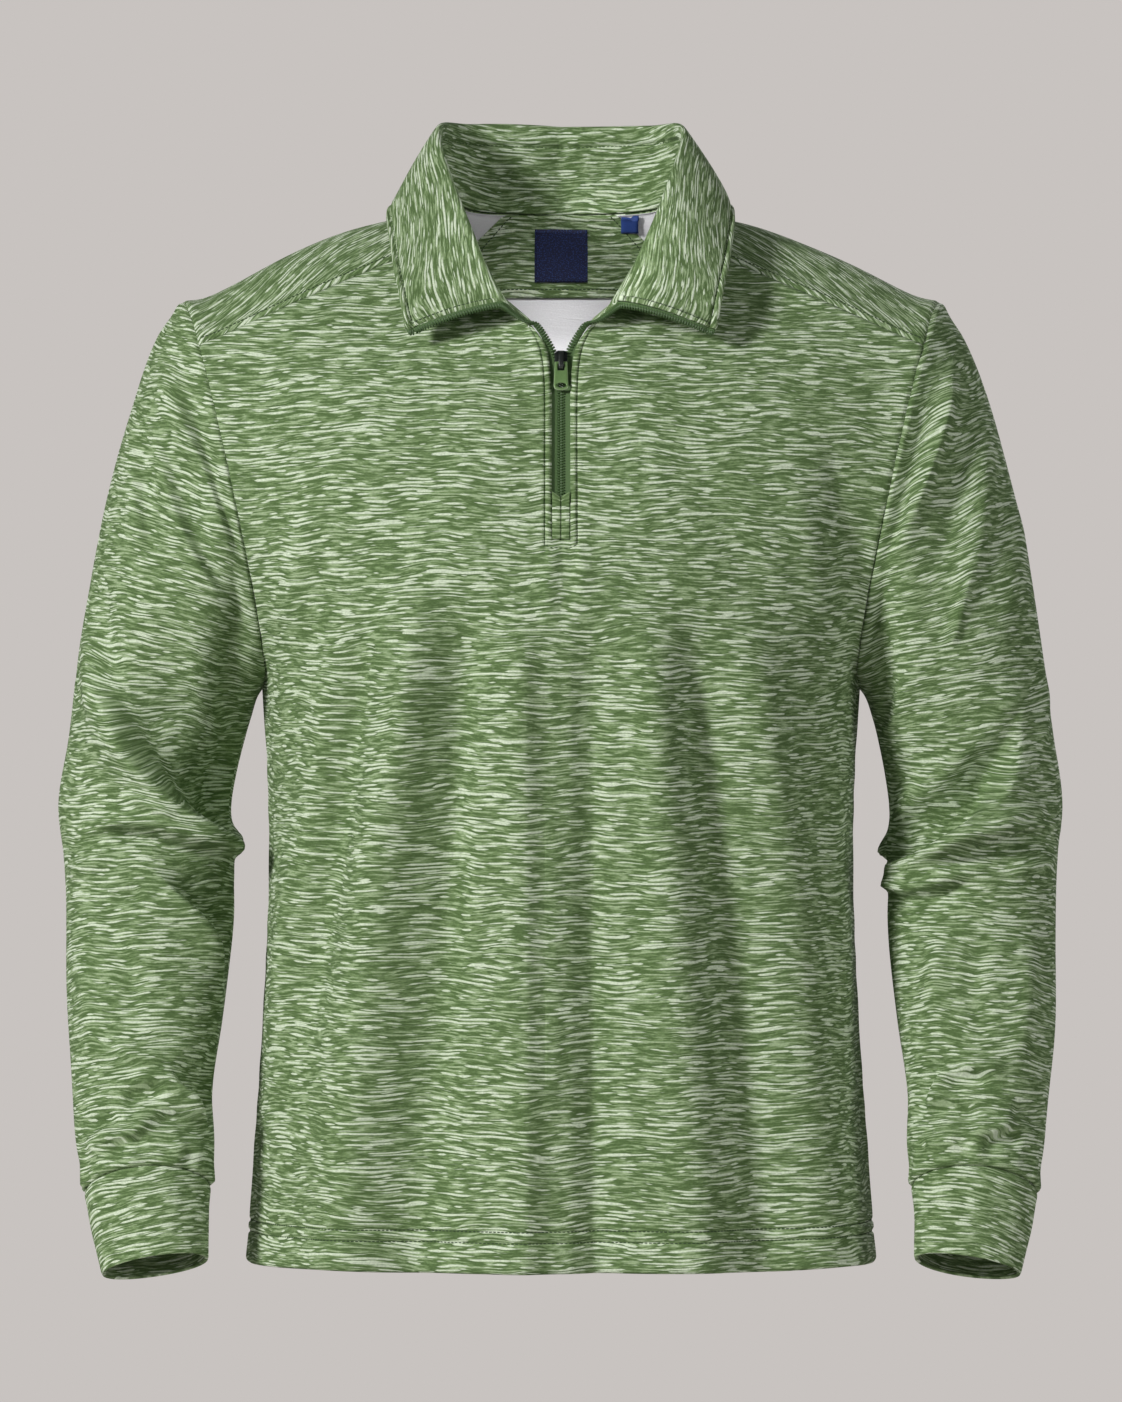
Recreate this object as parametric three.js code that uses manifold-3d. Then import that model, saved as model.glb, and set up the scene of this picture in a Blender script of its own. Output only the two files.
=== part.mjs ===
// A long sleeved knitted pullover with a fold over collar and a short neck zip, hollow and open as when worn.
// Millimetres. +Z is up, the front faces -Y and +X is the wearer's left.
// The origin is the middle of the neck opening, level with the points where the shoulders meet the neck.
import * as THREE from "three";
import Module from "manifold-3d";
import { mergeVertices } from "three/addons/utils/BufferGeometryUtils.js";

// Driving sizes.
const wall = { knit: 1.5, doubled: 2.3, tape: 1.1, label: 0.9 };
const seamGap = 0.4; // the space left between two sewn edges
const layerGap = 0.4; // the space left between a panel and what lies on it
const hemHeight = -721;
const underarm = { x: 203, z: -326 };
const shoulderTip = { x: 257.5, z: -70 };
const armholeHalfDepth = 70;
const seamAngle = 41; // where the shoulder seam meets the armhole, in degrees forward of its top
const seamNeckEnd = { x: 80, y: -36, z: -30 }; // the shoulder seam's end at the neck
const zipHalfGap = 6.2; // half the width of the slit that the zip fills

// How many cells each stretch of cloth is divided into.
const cells = {
  lowerRows: 12, frontArmhole: 10, backArmhole: 14, shoulder: 7,
  frontNeck: 5, backNeck: 12, sleeve: 22, cuff: 3,
};
const neckGuide = 0.34; // where the column that reaches the neck point starts, as a share of half the hem

// The body below the arms, level by level: half its width, and its depth before and behind the side seams.
const bodySections = [
  { z: -721, halfWidth: 212.5, front: 124, back: 118 },
  { z: -660, halfWidth: 209, front: 124, back: 116 },
  { z: -578, halfWidth: 203, front: 125, back: 113 },
  { z: -496, halfWidth: 198.5, front: 127, back: 111 },
  { z: -435, halfWidth: 197.5, front: 130, back: 113 },
  { z: -380, halfWidth: 199, front: 133, back: 117 },
  { z: -326, halfWidth: 203, front: 136, back: 120 },
];
const bodySquareness = 2.25; // 2 is an ellipse, and more is squarer

// Lines that the upper panels pass through, from the underarm level to their top edge.
const frontNeckLine = [
  { at: 0, x: 87, y: -127.5, z: -326 },
  { at: 0.25, x: 87, y: -126, z: -252 },
  { at: 0.5, x: 86, y: -112, z: -178 },
  { at: 0.75, x: 84, y: -82, z: -104 },
  { at: 1, x: 80, y: -36, z: -30 },
];
const frontZipLine = [
  { at: 0, x: 6.2, y: -136, z: -326 },
  { at: 0.2, x: 6.2, y: -136, z: -279 },
  { at: 0.4, x: 6.2, y: -130.5, z: -234 },
  { at: 0.5, x: 6.2, y: -124, z: -205 },
  { at: 0.6, x: 6.2, y: -113, z: -169 },
  { at: 0.7, x: 6.2, y: -101.5, z: -136 },
  { at: 0.8, x: 7.5, y: -95, z: -116 },
  { at: 0.9, x: 11, y: -90.5, z: -102 },
  { at: 1, x: 20, y: -86, z: -89.5 },
];
const backNeckLine = [
  { at: 0, x: 84, y: 113, z: -326 },
  { at: 0.28, x: 88, y: 113, z: -205 },
  { at: 0.5, x: 91, y: 98, z: -115 },
  { at: 0.66, x: 98, y: 68, z: -48 },
  { at: 0.78, x: 105, y: 34, z: -13 },
  { at: 0.87, x: 105, y: 6, z: -3 },
  { at: 0.94, x: 99, y: -15, z: -16 },
  { at: 1, x: 80, y: -36, z: -30 },
];
const backSideLine = [
  { at: 0, x: 62, y: 117, z: -326 },
  { at: 0.3, x: 66, y: 118, z: -205 },
  { at: 0.55, x: 72, y: 104, z: -112 },
  { at: 0.78, x: 80, y: 72, z: -42 },
  { at: 0.92, x: 86, y: 36, z: -4 },
  { at: 1, x: 88, y: 6, z: 5 },
];
const backCentreLine = [
  { at: 0, x: 0, y: 120, z: -326 },
  { at: 0.3, x: 0, y: 121, z: -220 },
  { at: 0.55, x: 0, y: 114, z: -135 },
  { at: 0.8, x: 0, y: 88, z: -58 },
  { at: 1, x: 0, y: 58, z: -7 },
];

// The edge that the collar is sewn to, from the zip to the middle of the back.
const neckEdge = [
  { at: 0, x: 20, y: -86, z: -89.5 },
  { at: 0.18, x: 52, y: -66, z: -63 },
  { at: 0.38, x: 80, y: -36, z: -30 },
  { at: 0.57, x: 88, y: 6, z: 1 },
  { at: 0.78, x: 58, y: 44, z: -5 },
  { at: 1, x: 0, y: 58, z: -7 },
];
// The collar's fold and its outer edge beside the same places.
const collarFold = [
  { at: 0, x: 40, y: -95, z: -74 },
  { at: 0.18, x: 57, y: -74, z: -34 },
  { at: 0.38, x: 74, y: -40, z: 14 },
  { at: 0.57, x: 82, y: 2, z: 50.5 },
  { at: 0.78, x: 60, y: 46, z: 54.5 },
  { at: 1, x: 0, y: 63, z: 53.5 },
];
const collarEdge = [
  { at: 0, x: 104, y: -96, z: -93 },
  { at: 0.18, x: 109, y: -90, z: -66 },
  { at: 0.38, x: 115, y: -64, z: -37 },
  { at: 0.57, x: 117, y: -18, z: -8 },
  { at: 0.78, x: 91, y: 60, z: -12 },
  { at: 1, x: 0, y: 78, z: -14 },
];

// A sleeve's outer and inner outline from the armhole to the cuff, its half depth, how far its middle lies
// from the side seams and how far the forearm leans forward.
const sleeveSections = [
  { at: 0, outerX: 257.5, outerZ: -70, innerX: 203, innerZ: -326, halfDepth: 70, y: 0, lean: 0 },
  { at: 0.06, outerX: 274, outerZ: -94, innerX: 204, innerZ: -329, halfDepth: 70, y: 0, lean: 0 },
  { at: 0.14, outerX: 290, outerZ: -136, innerX: 205.5, innerZ: -333, halfDepth: 69, y: 0, lean: 0 },
  { at: 0.24, outerX: 306, outerZ: -192, innerX: 208, innerZ: -340, halfDepth: 67, y: 0, lean: 0 },
  { at: 0.34, outerX: 318, outerZ: -250, innerX: 211, innerZ: -350, halfDepth: 65, y: 0, lean: 0 },
  { at: 0.44, outerX: 328, outerZ: -310, innerX: 215.5, innerZ: -366, halfDepth: 62, y: 1, lean: 0 },
  { at: 0.53, outerX: 334.5, outerZ: -364, innerX: 221, innerZ: -392, halfDepth: 58, y: 2, lean: 1 },
  { at: 0.6, outerX: 341, outerZ: -410, innerX: 224, innerZ: -418, halfDepth: 56, y: 1, lean: 4 },
  { at: 0.66, outerX: 338, outerZ: -447, innerX: 222, innerZ: -447, halfDepth: 55, y: -4, lean: 8 },
  { at: 0.75, outerX: 336, outerZ: -503, innerX: 222.5, innerZ: -497, halfDepth: 52, y: -14, lean: 11 },
  { at: 0.84, outerX: 334, outerZ: -560, innerX: 228.5, innerZ: -553, halfDepth: 47, y: -27, lean: 14 },
  { at: 0.92, outerX: 328.5, outerZ: -610, innerX: 234.5, innerZ: -604, halfDepth: 41, y: -40, lean: 17 },
  { at: 0.97, outerX: 325, outerZ: -646, innerX: 233, innerZ: -640, halfDepth: 38, y: -50, lean: 18 },
  { at: 1, outerX: 319.5, outerZ: -671, innerX: 236.5, innerZ: -666, halfDepth: 31, y: -56, lean: 19 },
];
const cuffSections = [
  { at: 0, outerX: 319.5, outerZ: -671, innerX: 236.5, innerZ: -666, halfDepth: 31, y: -56, lean: 19 },
  { at: 0.4, outerX: 316, outerZ: -692, innerX: 236.5, innerZ: -685, halfDepth: 29.5, y: -63, lean: 20 },
  { at: 1, outerX: 307.5, outerZ: -725, innerX: 236, innerZ: -714, halfDepth: 26, y: -75, lean: 20 },
];
const cuffBow = 7; // how far the cuff seam rises at the front

// The drapes that fall from the chest to the hem: where each starts and ends, its half breadth and height.
// A negative height is a hollow.
const frontDrapes = [
  { fromX: -46, fromZ: -250, toX: -46, toZ: -721, breadth: 24, height: 4.5 },
  { fromX: 42, fromZ: -250, toX: 46, toZ: -721, breadth: 24, height: 4.5 },
  { fromX: -112, fromZ: -262, toX: -146, toZ: -721, breadth: 22, height: 5.5 },
  { fromX: 114, fromZ: -262, toX: 152, toZ: -721, breadth: 22, height: 5.5 },
  { fromX: -2, fromZ: -280, toX: 0, toZ: -721, breadth: 20, height: -4 },
  { fromX: -82, fromZ: -280, toX: -104, toZ: -721, breadth: 20, height: -5 },
  { fromX: 80, fromZ: -280, toX: 108, toZ: -721, breadth: 20, height: -5 },
];
const backDrapes = [
  { fromX: -60, fromZ: -200, toX: -74, toZ: -721, breadth: 26, height: 5 },
  { fromX: 56, fromZ: -190, toX: 80, toZ: -721, breadth: 26, height: 5 },
  { fromX: 2, fromZ: -230, toX: 4, toZ: -721, breadth: 26, height: -5 },
  { fromX: -118, fromZ: -260, toX: -150, toZ: -721, breadth: 22, height: 4 },
  { fromX: 120, fromZ: -250, toX: 146, toZ: -721, breadth: 22, height: 4 },
];

// The largest creases of a sleeve. Along is its share of the way to the cuff, and around is in degrees,
// with 0 on the outside, 90 at the front and 180 inside the arm.
const sleeveFolds = {
  right: [
    { along: 0.04, around: 120, toAlong: 0.42, toAround: 152, breadth: 13, height: -7 },
    { along: 0.06, around: 96, toAlong: 0.44, toAround: 118, breadth: 15, height: 3.5 },
    { along: 0.42, around: 42, toAlong: 0.64, toAround: 150, breadth: 13, height: 8 },
    { along: 0.5, around: 70, toAlong: 0.59, toAround: 165, breadth: 15, height: -7 },
    { along: 0.63, around: 30, toAlong: 0.655, toAround: 128, breadth: 10, height: -6 },
    { along: 0.6, around: 10, toAlong: 0.62, toAround: 75, breadth: 9, height: 5 },
    { along: 0.68, around: 20, toAlong: 0.69, toAround: 120, breadth: 12, height: 4 },
    { along: 0.86, around: 60, toAlong: 0.88, toAround: 160, breadth: 10, height: -5 },
    { along: 0.92, around: 30, toAlong: 0.915, toAround: 140, breadth: 8, height: -4.5 },
    { along: 0.55, around: 235, toAlong: 0.6, toAround: 330, breadth: 13, height: -6 },
    { along: 0.63, around: 215, toAlong: 0.66, toAround: 310, breadth: 12, height: 5 },
    { along: 0.87, around: 220, toAlong: 0.9, toAround: 320, breadth: 10, height: -4.5 },
    { along: 0.05, around: 235, toAlong: 0.36, toAround: 212, breadth: 14, height: -6 },
  ],
  left: [
    { along: 0.04, around: 122, toAlong: 0.4, toAround: 158, breadth: 13, height: -7.5 },
    { along: 0.06, around: 98, toAlong: 0.4, toAround: 126, breadth: 14, height: 4 },
    { along: 0.46, around: 44, toAlong: 0.61, toAround: 150, breadth: 12, height: 8 },
    { along: 0.47, around: 84, toAlong: 0.57, toAround: 165, breadth: 16, height: -6 },
    { along: 0.615, around: 48, toAlong: 0.645, toAround: 132, breadth: 9, height: -7 },
    { along: 0.58, around: 12, toAlong: 0.6, toAround: 70, breadth: 9, height: 5 },
    { along: 0.67, around: 120, toAlong: 0.655, toAround: 175, breadth: 10, height: -5 },
    { along: 0.86, around: 20, toAlong: 0.9, toAround: 90, breadth: 10, height: -5 },
    { along: 0.89, around: 70, toAlong: 0.915, toAround: 150, breadth: 9, height: 4.5 },
    { along: 0.54, around: 238, toAlong: 0.61, toAround: 325, breadth: 13, height: -6 },
    { along: 0.64, around: 210, toAlong: 0.65, toAround: 300, breadth: 12, height: 5 },
    { along: 0.88, around: 225, toAlong: 0.87, toAround: 320, breadth: 10, height: -4.5 },
    { along: 0.05, around: 232, toAlong: 0.38, toAround: 210, breadth: 14, height: -6 },
  ],
};

const radians = THREE.MathUtils.degToRad;
const lerp = THREE.MathUtils.lerp;
const smoothstep = THREE.MathUtils.smoothstep;
const point = (row) => new THREE.Vector3(row.x, row.y, row.z);
const mirrored = (p) => new THREE.Vector3(-p.x, p.y, p.z);

// Reads every column of a table at one place, on a smooth line through its rows.
function readTable(rows, key, at) {
  const last = rows.length - 1;
  const place = THREE.MathUtils.clamp(at, rows[0][key], rows[last][key]);
  let i = 0;
  while (i < last - 1 && rows[i + 1][key] < place) i += 1;
  const a = rows[i];
  const b = rows[i + 1];
  const span = b[key] - a[key];
  const t = (place - a[key]) / span;
  const read = {};
  for (const column of Object.keys(a)) {
    const slope = (b[column] - a[column]) / span;
    const before = i > 0 ? (b[column] - rows[i - 1][column]) / (b[key] - rows[i - 1][key]) : slope;
    const after = i + 2 <= last ? (rows[i + 2][column] - a[column]) / (rows[i + 2][key] - a[key]) : slope;
    const t2 = t * t;
    const t3 = t2 * t;
    read[column] = (2 * t3 - 3 * t2 + 1) * a[column] + (t3 - 2 * t2 + t) * span * before
      + (3 * t2 - 2 * t3) * b[column] + (t3 - t2) * span * after;
  }
  return read;
}

// Half of the body's outline at one height, from the right side seam to the left one, by share of length.
function halfRing(z, side) {
  const section = readTable(bodySections, "z", z);
  const depth = side === "front" ? -section.front : section.back;
  const steps = 96;
  const line = [];
  const lengths = [0];
  for (let i = 0; i <= steps; i += 1) {
    const turn = (Math.PI * i) / steps;
    const power = 2 / bodySquareness;
    const across = -Math.sign(Math.cos(turn)) * Math.abs(Math.cos(turn)) ** power;
    line.push(new THREE.Vector3(section.halfWidth * across, depth * Math.sin(turn) ** power, z));
    if (i > 0) lengths.push(lengths[i - 1] + line[i].distanceTo(line[i - 1]));
  }
  const total = lengths[steps];
  const at = (share) => {
    const wanted = THREE.MathUtils.clamp(share, 0, 1) * total;
    let i = 1;
    while (i < steps && lengths[i] < wanted) i += 1;
    const t = (wanted - lengths[i - 1]) / (lengths[i] - lengths[i - 1]);
    return line[i - 1].clone().lerp(line[i], t);
  };
  return { at, total };
}

// The armhole on the wearer's left, by the angle from its top. Positive angles are at the front.
function armholePoint(angle) {
  const top = new THREE.Vector3(shoulderTip.x, 0, shoulderTip.z);
  const bottom = new THREE.Vector3(underarm.x, 0, underarm.z);
  const up = top.clone().sub(bottom).multiplyScalar(0.5);
  // The seam bends in towards the body at its middle.
  const hollow = 10 * Math.abs(Math.sin(radians(angle))) ** 0.8;
  return bottom.clone().add(up).addScaledVector(up, Math.cos(radians(angle)))
    .add(new THREE.Vector3(-hollow, -armholeHalfDepth * Math.sin(radians(angle)), 0));
}

// The shares of the half outline at which the front's columns stand, with the zip's narrow one in the middle.
function frontShares(ringLength) {
  const zipShare = 0.5 - zipHalfGap / ringLength;
  const half = [];
  for (let i = 0; i < cells.shoulder; i += 1) half.push((neckGuide * i) / cells.shoulder);
  for (let i = 0; i <= cells.frontNeck; i += 1) half.push(lerp(neckGuide, zipShare, i / cells.frontNeck));
  return [...half, ...half.slice().reverse().map((share) => 1 - share)];
}

function backShares() {
  const { shoulder, backNeck } = cells;
  const shares = [];
  for (let i = 0; i < shoulder; i += 1) shares.push((neckGuide * i) / shoulder);
  for (let i = 0; i <= backNeck; i += 1) shares.push(lerp(neckGuide, 1 - neckGuide, i / backNeck));
  for (let i = shoulder - 1; i >= 0; i -= 1) shares.push(1 - (neckGuide * i) / shoulder);
  return shares;
}

const neckPoint = (at) => point(readTable(neckEdge, "at", at));
const neckSeamShare = 0.38; // where the shoulder seam meets the neck edge
const neckSideShare = 0.57; // where the neck edge is widest

// A point on the shoulder seam of the wearer's left, from the armhole at 0 to the neck at 1.
function shoulderSeamPoint(share) {
  const rise = 3 * Math.sin(Math.PI * share); // the shoulder is a little full
  const onChord = armholePoint(seamAngle).lerp(point(seamNeckEnd), share);
  return onChord.add(new THREE.Vector3(0, -rise, rise * 0.5));
}

// Fills a panel between its bottom and top edges, so that it passes through the given lines.
function fillPanel(bottom, top, rows, lines) {
  const spread = bottom.map((p, i) => i / (bottom.length - 1));
  const grid = [];
  for (let j = 0; j <= rows; j += 1) {
    const v = j / rows;
    const pulls = lines.map(({ column, at }) => {
      const straight = bottom[column].clone().lerp(top[column], v);
      const pull = at(v, j).sub(straight);
      return { place: spread[column], x: pull.x, y: pull.y, z: pull.z };
    });
    grid.push(bottom.map((p, i) => {
      if (j === 0) return p.clone();
      if (j === rows) return top[i].clone();
      return p.clone().lerp(top[i], v).add(point(readTable(pulls, "place", spread[i])));
    }));
  }
  return grid;
}

// Evens out a grid, leaving its edges and the fixed points where they are.
function relax(grid, rounds, isFixed) {
  for (let n = 0; n < rounds; n += 1) {
    const before = grid.map((row) => row.map((p) => p.clone()));
    for (let j = 1; j < grid.length - 1; j += 1) {
      for (let i = 1; i < grid[j].length - 1; i += 1) {
        if (isFixed(j, i)) continue;
        const mean = before[j - 1][i].clone().add(before[j + 1][i]);
        mean.add(before[j][i - 1]).add(before[j][i + 1]).multiplyScalar(0.25);
        grid[j][i].lerp(mean, 0.5);
      }
    }
  }
}

// How far a drape or crease lifts a point that lies across it, and how it dies away at its ends.
function swell(away, breadth, along) {
  const ends = smoothstep(along, -0.12, 0.16) * (1 - smoothstep(along, 0.84, 1.12));
  return Math.exp(-((away / breadth) ** 2)) * ends;
}

function drapeLift(drapes, p) {
  let lift = 0;
  for (const drape of drapes) {
    const down = (p.z - drape.fromZ) / (drape.toZ - drape.fromZ);
    if (down <= 0) continue;
    const away = p.x - lerp(drape.fromX, drape.toX, down);
    lift += drape.height * smoothstep(down, 0, 0.35) * Math.exp(-((away / drape.breadth) ** 2));
  }
  return lift;
}

// Each point's outward normal on a grid. Columns run to the right and rows run up, seen from outside.
function gridNormals(grid, closed) {
  const rows = grid.length;
  const columns = grid[0].length;
  const normals = grid.map((row) => row.map(() => new THREE.Vector3()));
  const lastColumn = closed ? columns : columns - 1;
  for (let j = 0; j < rows - 1; j += 1) {
    for (let i = 0; i < lastColumn; i += 1) {
      const k = (i + 1) % columns;
      const across = grid[j + 1][k].clone().sub(grid[j][i]);
      const rising = grid[j + 1][i].clone().sub(grid[j][k]);
      const normal = across.cross(rising);
      for (const row of [j, j + 1]) {
        normals[row][i].add(normal);
        normals[row][k].add(normal);
      }
    }
  }
  normals.forEach((row) => row.forEach((normal) => normal.normalize()));
  return normals;
}

function pushOut(grid, closed, liftAt) {
  const normals = gridNormals(grid, closed);
  grid.forEach((row, j) => row.forEach((p, i) => p.addScaledVector(normals[j][i], liftAt(p, j, i))));
}

function makeFront() {
  const grid = [];
  for (let j = 0; j <= cells.lowerRows; j += 1) {
    const ring = halfRing(lerp(hemHeight, underarm.z, j / cells.lowerRows), "front");
    grid.push(frontShares(ring.total).map((share) => ring.at(share)));
  }
  const bottom = grid[cells.lowerRows];
  const half = cells.shoulder + cells.frontNeck;
  const top = bottom.map((p, i) => {
    const column = Math.min(i, bottom.length - 1 - i);
    const inFromNeck = (column - cells.shoulder) / cells.frontNeck;
    const made = column <= cells.shoulder
      ? shoulderSeamPoint(column / cells.shoulder)
      : neckPoint(neckSeamShare * (1 - inFromNeck));
    return i > half ? made : mirrored(made);
  });
  const armhole = (v) => armholePoint(lerp(180, seamAngle, v));
  const neck = (v) => point(readTable(frontNeckLine, "at", v));
  const zip = (v) => point(readTable(frontZipLine, "at", v));
  const last = bottom.length - 1;
  const upper = fillPanel(bottom, top, cells.frontArmhole, [
    { column: 0, at: (v) => mirrored(armhole(v)) },
    { column: cells.shoulder, at: (v) => mirrored(neck(v)) },
    { column: half, at: (v) => mirrored(zip(v)) },
    { column: half + 1, at: zip },
    { column: last - cells.shoulder, at: neck },
    { column: last, at: armhole },
  ]);
  grid.push(...upper.slice(1));
  relax(grid, 3, (j, i) => i === half || i === half + 1);
  const isBesideZip = (i) => i === half || i === half + 1;
  const clearOfSeams = (i) => (isBesideZip(i) ? 0.3 : smoothstep(Math.min(i, last - i), 0, 2.5));
  pushOut(grid, false, (p, j, i) => clearOfSeams(i) * drapeLift(frontDrapes, p));
  return { grid, half };
}

function makeBack() {
  const grid = [];
  for (let j = 0; j <= cells.lowerRows; j += 1) {
    const ring = halfRing(lerp(hemHeight, underarm.z, j / cells.lowerRows), "back");
    grid.push(backShares().map((share) => ring.at(1 - share)));
  }
  const bottom = grid[cells.lowerRows];
  const last = bottom.length - 1;
  const middle = last / 2;
  const top = bottom.map((p, i) => {
    const column = Math.min(i, last - i);
    const round = (column - cells.shoulder) / (middle - cells.shoulder);
    const made = column <= cells.shoulder
      ? shoulderSeamPoint(column / cells.shoulder)
      : neckPoint(lerp(neckSeamShare, 1, round));
    return i <= middle ? made : mirrored(made);
  });
  const armhole = (v) => armholePoint(lerp(-180, seamAngle, v));
  const neck = (v) => point(readTable(backNeckLine, "at", v));
  const side = (v) => point(readTable(backSideLine, "at", v));
  const sideShare = (neckSideShare - neckSeamShare) / (1 - neckSeamShare);
  const sideColumn = cells.shoulder + Math.round(sideShare * (middle - cells.shoulder));
  const upper = fillPanel(bottom, top, cells.backArmhole, [
    { column: 0, at: armhole },
    { column: cells.shoulder, at: neck },
    { column: sideColumn, at: side },
    { column: middle, at: (v) => point(readTable(backCentreLine, "at", v)) },
    { column: last - sideColumn, at: (v) => mirrored(side(v)) },
    { column: last - cells.shoulder, at: (v) => mirrored(neck(v)) },
    { column: last, at: (v) => mirrored(armhole(v)) },
  ]);
  grid.push(...upper.slice(1));
  relax(grid, 3, () => false);
  const clearOfSeams = (i) => smoothstep(Math.min(i, last - i), 0, 2.5);
  pushOut(grid, false, (p, j, i) => clearOfSeams(i) * drapeLift(backDrapes, p));
  return grid;
}

// The angles of a sleeve's columns, so that they meet the armhole's points on the front and the back.
function sleeveAngles() {
  const { frontArmhole, backArmhole } = cells;
  const angles = [];
  for (let i = 0; i < frontArmhole; i += 1) angles.push(lerp(seamAngle, 180, i / frontArmhole));
  for (let i = 0; i < backArmhole; i += 1) angles.push(lerp(180, 360 + seamAngle, i / backArmhole));
  return angles;
}

// One point of a round section on the wearer's left. Its front rises as the forearm leans forward.
function sectionPoint(section, angle) {
  const outer = new THREE.Vector3(section.outerX, section.y, section.outerZ);
  const inner = new THREE.Vector3(section.innerX, section.y, section.innerZ);
  const across = outer.clone().sub(inner).multiplyScalar(0.5);
  const lean = radians(section.lean);
  const forward = new THREE.Vector3(0, -Math.cos(lean), Math.sin(lean)).multiplyScalar(section.halfDepth);
  return inner.add(across).addScaledVector(across, Math.cos(radians(angle)))
    .addScaledVector(forward, Math.sin(radians(angle)));
}

const frontBow = (angle) => cuffBow * Math.max(0, Math.sin(radians(angle))) ** 1.5;

function foldLift(folds, along, angle, roundLength, sleeveLength) {
  let lift = 0;
  for (const fold of folds) {
    const alongSpan = (fold.toAlong - fold.along) * sleeveLength;
    const aroundSpan = ((fold.toAround - fold.around) / 360) * roundLength;
    const length = Math.hypot(alongSpan, aroundSpan);
    const alongHere = (along - fold.along) * sleeveLength;
    const aroundHere = ((angle - fold.around) / 360) * roundLength;
    const share = (alongHere * alongSpan + aroundHere * aroundSpan) / length ** 2;
    const away = (alongHere * aroundSpan - aroundHere * alongSpan) / length;
    lift += fold.height * swell(away, fold.breadth, share);
  }
  return lift;
}

const sleeveLength = 640;
function makeSleeve(folds) {
  const angles = sleeveAngles();
  const first = sleeveSections[0];
  const grid = [];
  for (let j = 0; j <= cells.sleeve; j += 1) {
    const along = j / cells.sleeve;
    const section = readTable(sleeveSections, "at", along);
    const capShare = 1 - smoothstep(along, 0, 0.3);
    grid.push(angles.map((angle) => {
      const fromArmhole = armholePoint(angle).sub(sectionPoint(first, angle));
      const p = sectionPoint(section, angle).addScaledVector(fromArmhole, capShare);
      p.z += frontBow(angle) * smoothstep(along, 0.8, 1);
      return p;
    }));
  }
  const clearOfSeams = (j) => smoothstep(j, 0, 2) * smoothstep(cells.sleeve - j, 0, 1.6);
  pushOut(grid, true, (p, j, i) => {
    const along = j / cells.sleeve;
    const section = readTable(sleeveSections, "at", along);
    const roundLength = Math.PI * (section.halfDepth + (section.outerX - section.innerX) / 2);
    return clearOfSeams(j) * foldLift(folds, along, angles[i] % 360, roundLength, sleeveLength);
  });
  return grid;
}

function makeCuff() {
  const grid = [];
  for (let j = 0; j <= cells.cuff; j += 1) {
    const along = j / cells.cuff;
    const section = readTable(cuffSections, "at", along);
    grid.push(sleeveAngles().map((angle) => {
      const p = sectionPoint(section, angle);
      p.z += frontBow(angle) * (1 - along);
      return p;
    }));
  }
  return grid;
}

// The share of the neck edge at which each column of the collar stands, as the panels' columns do.
function collarPlaces() {
  const backHalf = cells.backNeck / 2;
  const places = [];
  for (let i = 0; i < cells.frontNeck; i += 1) places.push((neckSeamShare * i) / cells.frontNeck);
  for (let i = 0; i < backHalf; i += 1) places.push(lerp(neckSeamShare, 1, i / backHalf));
  return [...places, 1, ...places.slice().reverse().map((at) => 2 - at)];
}

// The collar's own profile at one place: up the stand, round the fold and down the leaf. It is the face that
// looks into the neck on the stand and outwards on the leaf.
const collarShares = {
  stand: [0, 0.25, 0.55, 0.85], turn: [0, 0.33, 0.67, 1], leaf: [0.2, 0.4, 0.6, 0.8, 1],
};
const foldRadius = { front: 5, back: 3.2 };
const leafBelly = { front: 4.5, back: 1.2 }; // how far the leaf bows out between its fold and its edge
function collarProfile(at) {
  const seam = neckPoint(at);
  const foldAt = (place) => point(readTable(collarFold, "at", place));
  const fold = foldAt(at);
  const edge = point(readTable(collarEdge, "at", at));
  const isAtBack = at > 0.96;
  const lengthwise = isAtBack
    ? new THREE.Vector3(-1, 0, 0)
    : foldAt(at + 0.03).sub(foldAt(at - 0.03)).normalize();
  const square = (v) => v.addScaledVector(lengthwise, -v.dot(lengthwise)).normalize();
  const up = fold.clone().sub(seam).normalize();
  const standNormal = up.clone().cross(lengthwise).normalize();
  const crest = square(up.clone());
  const leafNormal = edge.clone().sub(fold).cross(lengthwise).normalize();
  const turn = Math.acos(THREE.MathUtils.clamp(standNormal.dot(leafNormal), -1, 1));
  const rounded = (share) => standNormal.clone().multiplyScalar(Math.cos(turn * share))
    .addScaledVector(crest, Math.sin(turn * share));
  const radius = lerp(foldRadius.front, foldRadius.back, smoothstep(at, 0, 0.5));
  const centre = fold.clone().addScaledVector(rounded(0.5), -radius);
  seam.addScaledVector(standNormal, wall.doubled + layerGap).addScaledVector(up, 4 * layerGap);
  const profile = [];
  const standTop = centre.clone().addScaledVector(standNormal, radius);
  for (const share of collarShares.stand) {
    const hollow = 1.5 * Math.sin(Math.PI * share);
    profile.push(seam.clone().lerp(standTop, share).addScaledVector(standNormal, -hollow));
  }
  for (const share of collarShares.turn) {
    profile.push(centre.clone().addScaledVector(rounded(share), radius));
  }
  const leafTop = centre.clone().addScaledVector(rounded(1), radius);
  const belly = lerp(leafBelly.front, leafBelly.back, smoothstep(at, 0, 0.45));
  for (const share of collarShares.leaf) {
    const lift = belly * Math.sin(Math.PI * share ** 0.8);
    profile.push(leafTop.clone().lerp(edge, share).addScaledVector(leafNormal, lift));
  }
  return profile;
}

function makeCollar() {
  const columns = collarPlaces().map((at) => {
    const profile = collarProfile(at <= 1 ? at : 2 - at);
    return at <= 1 ? profile.map(mirrored) : profile;
  });
  const rows = columns[0].length;
  const grid = [];
  for (let j = 0; j < rows; j += 1) grid.push(columns.map((column) => column[j]));
  return grid;
}

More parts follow.
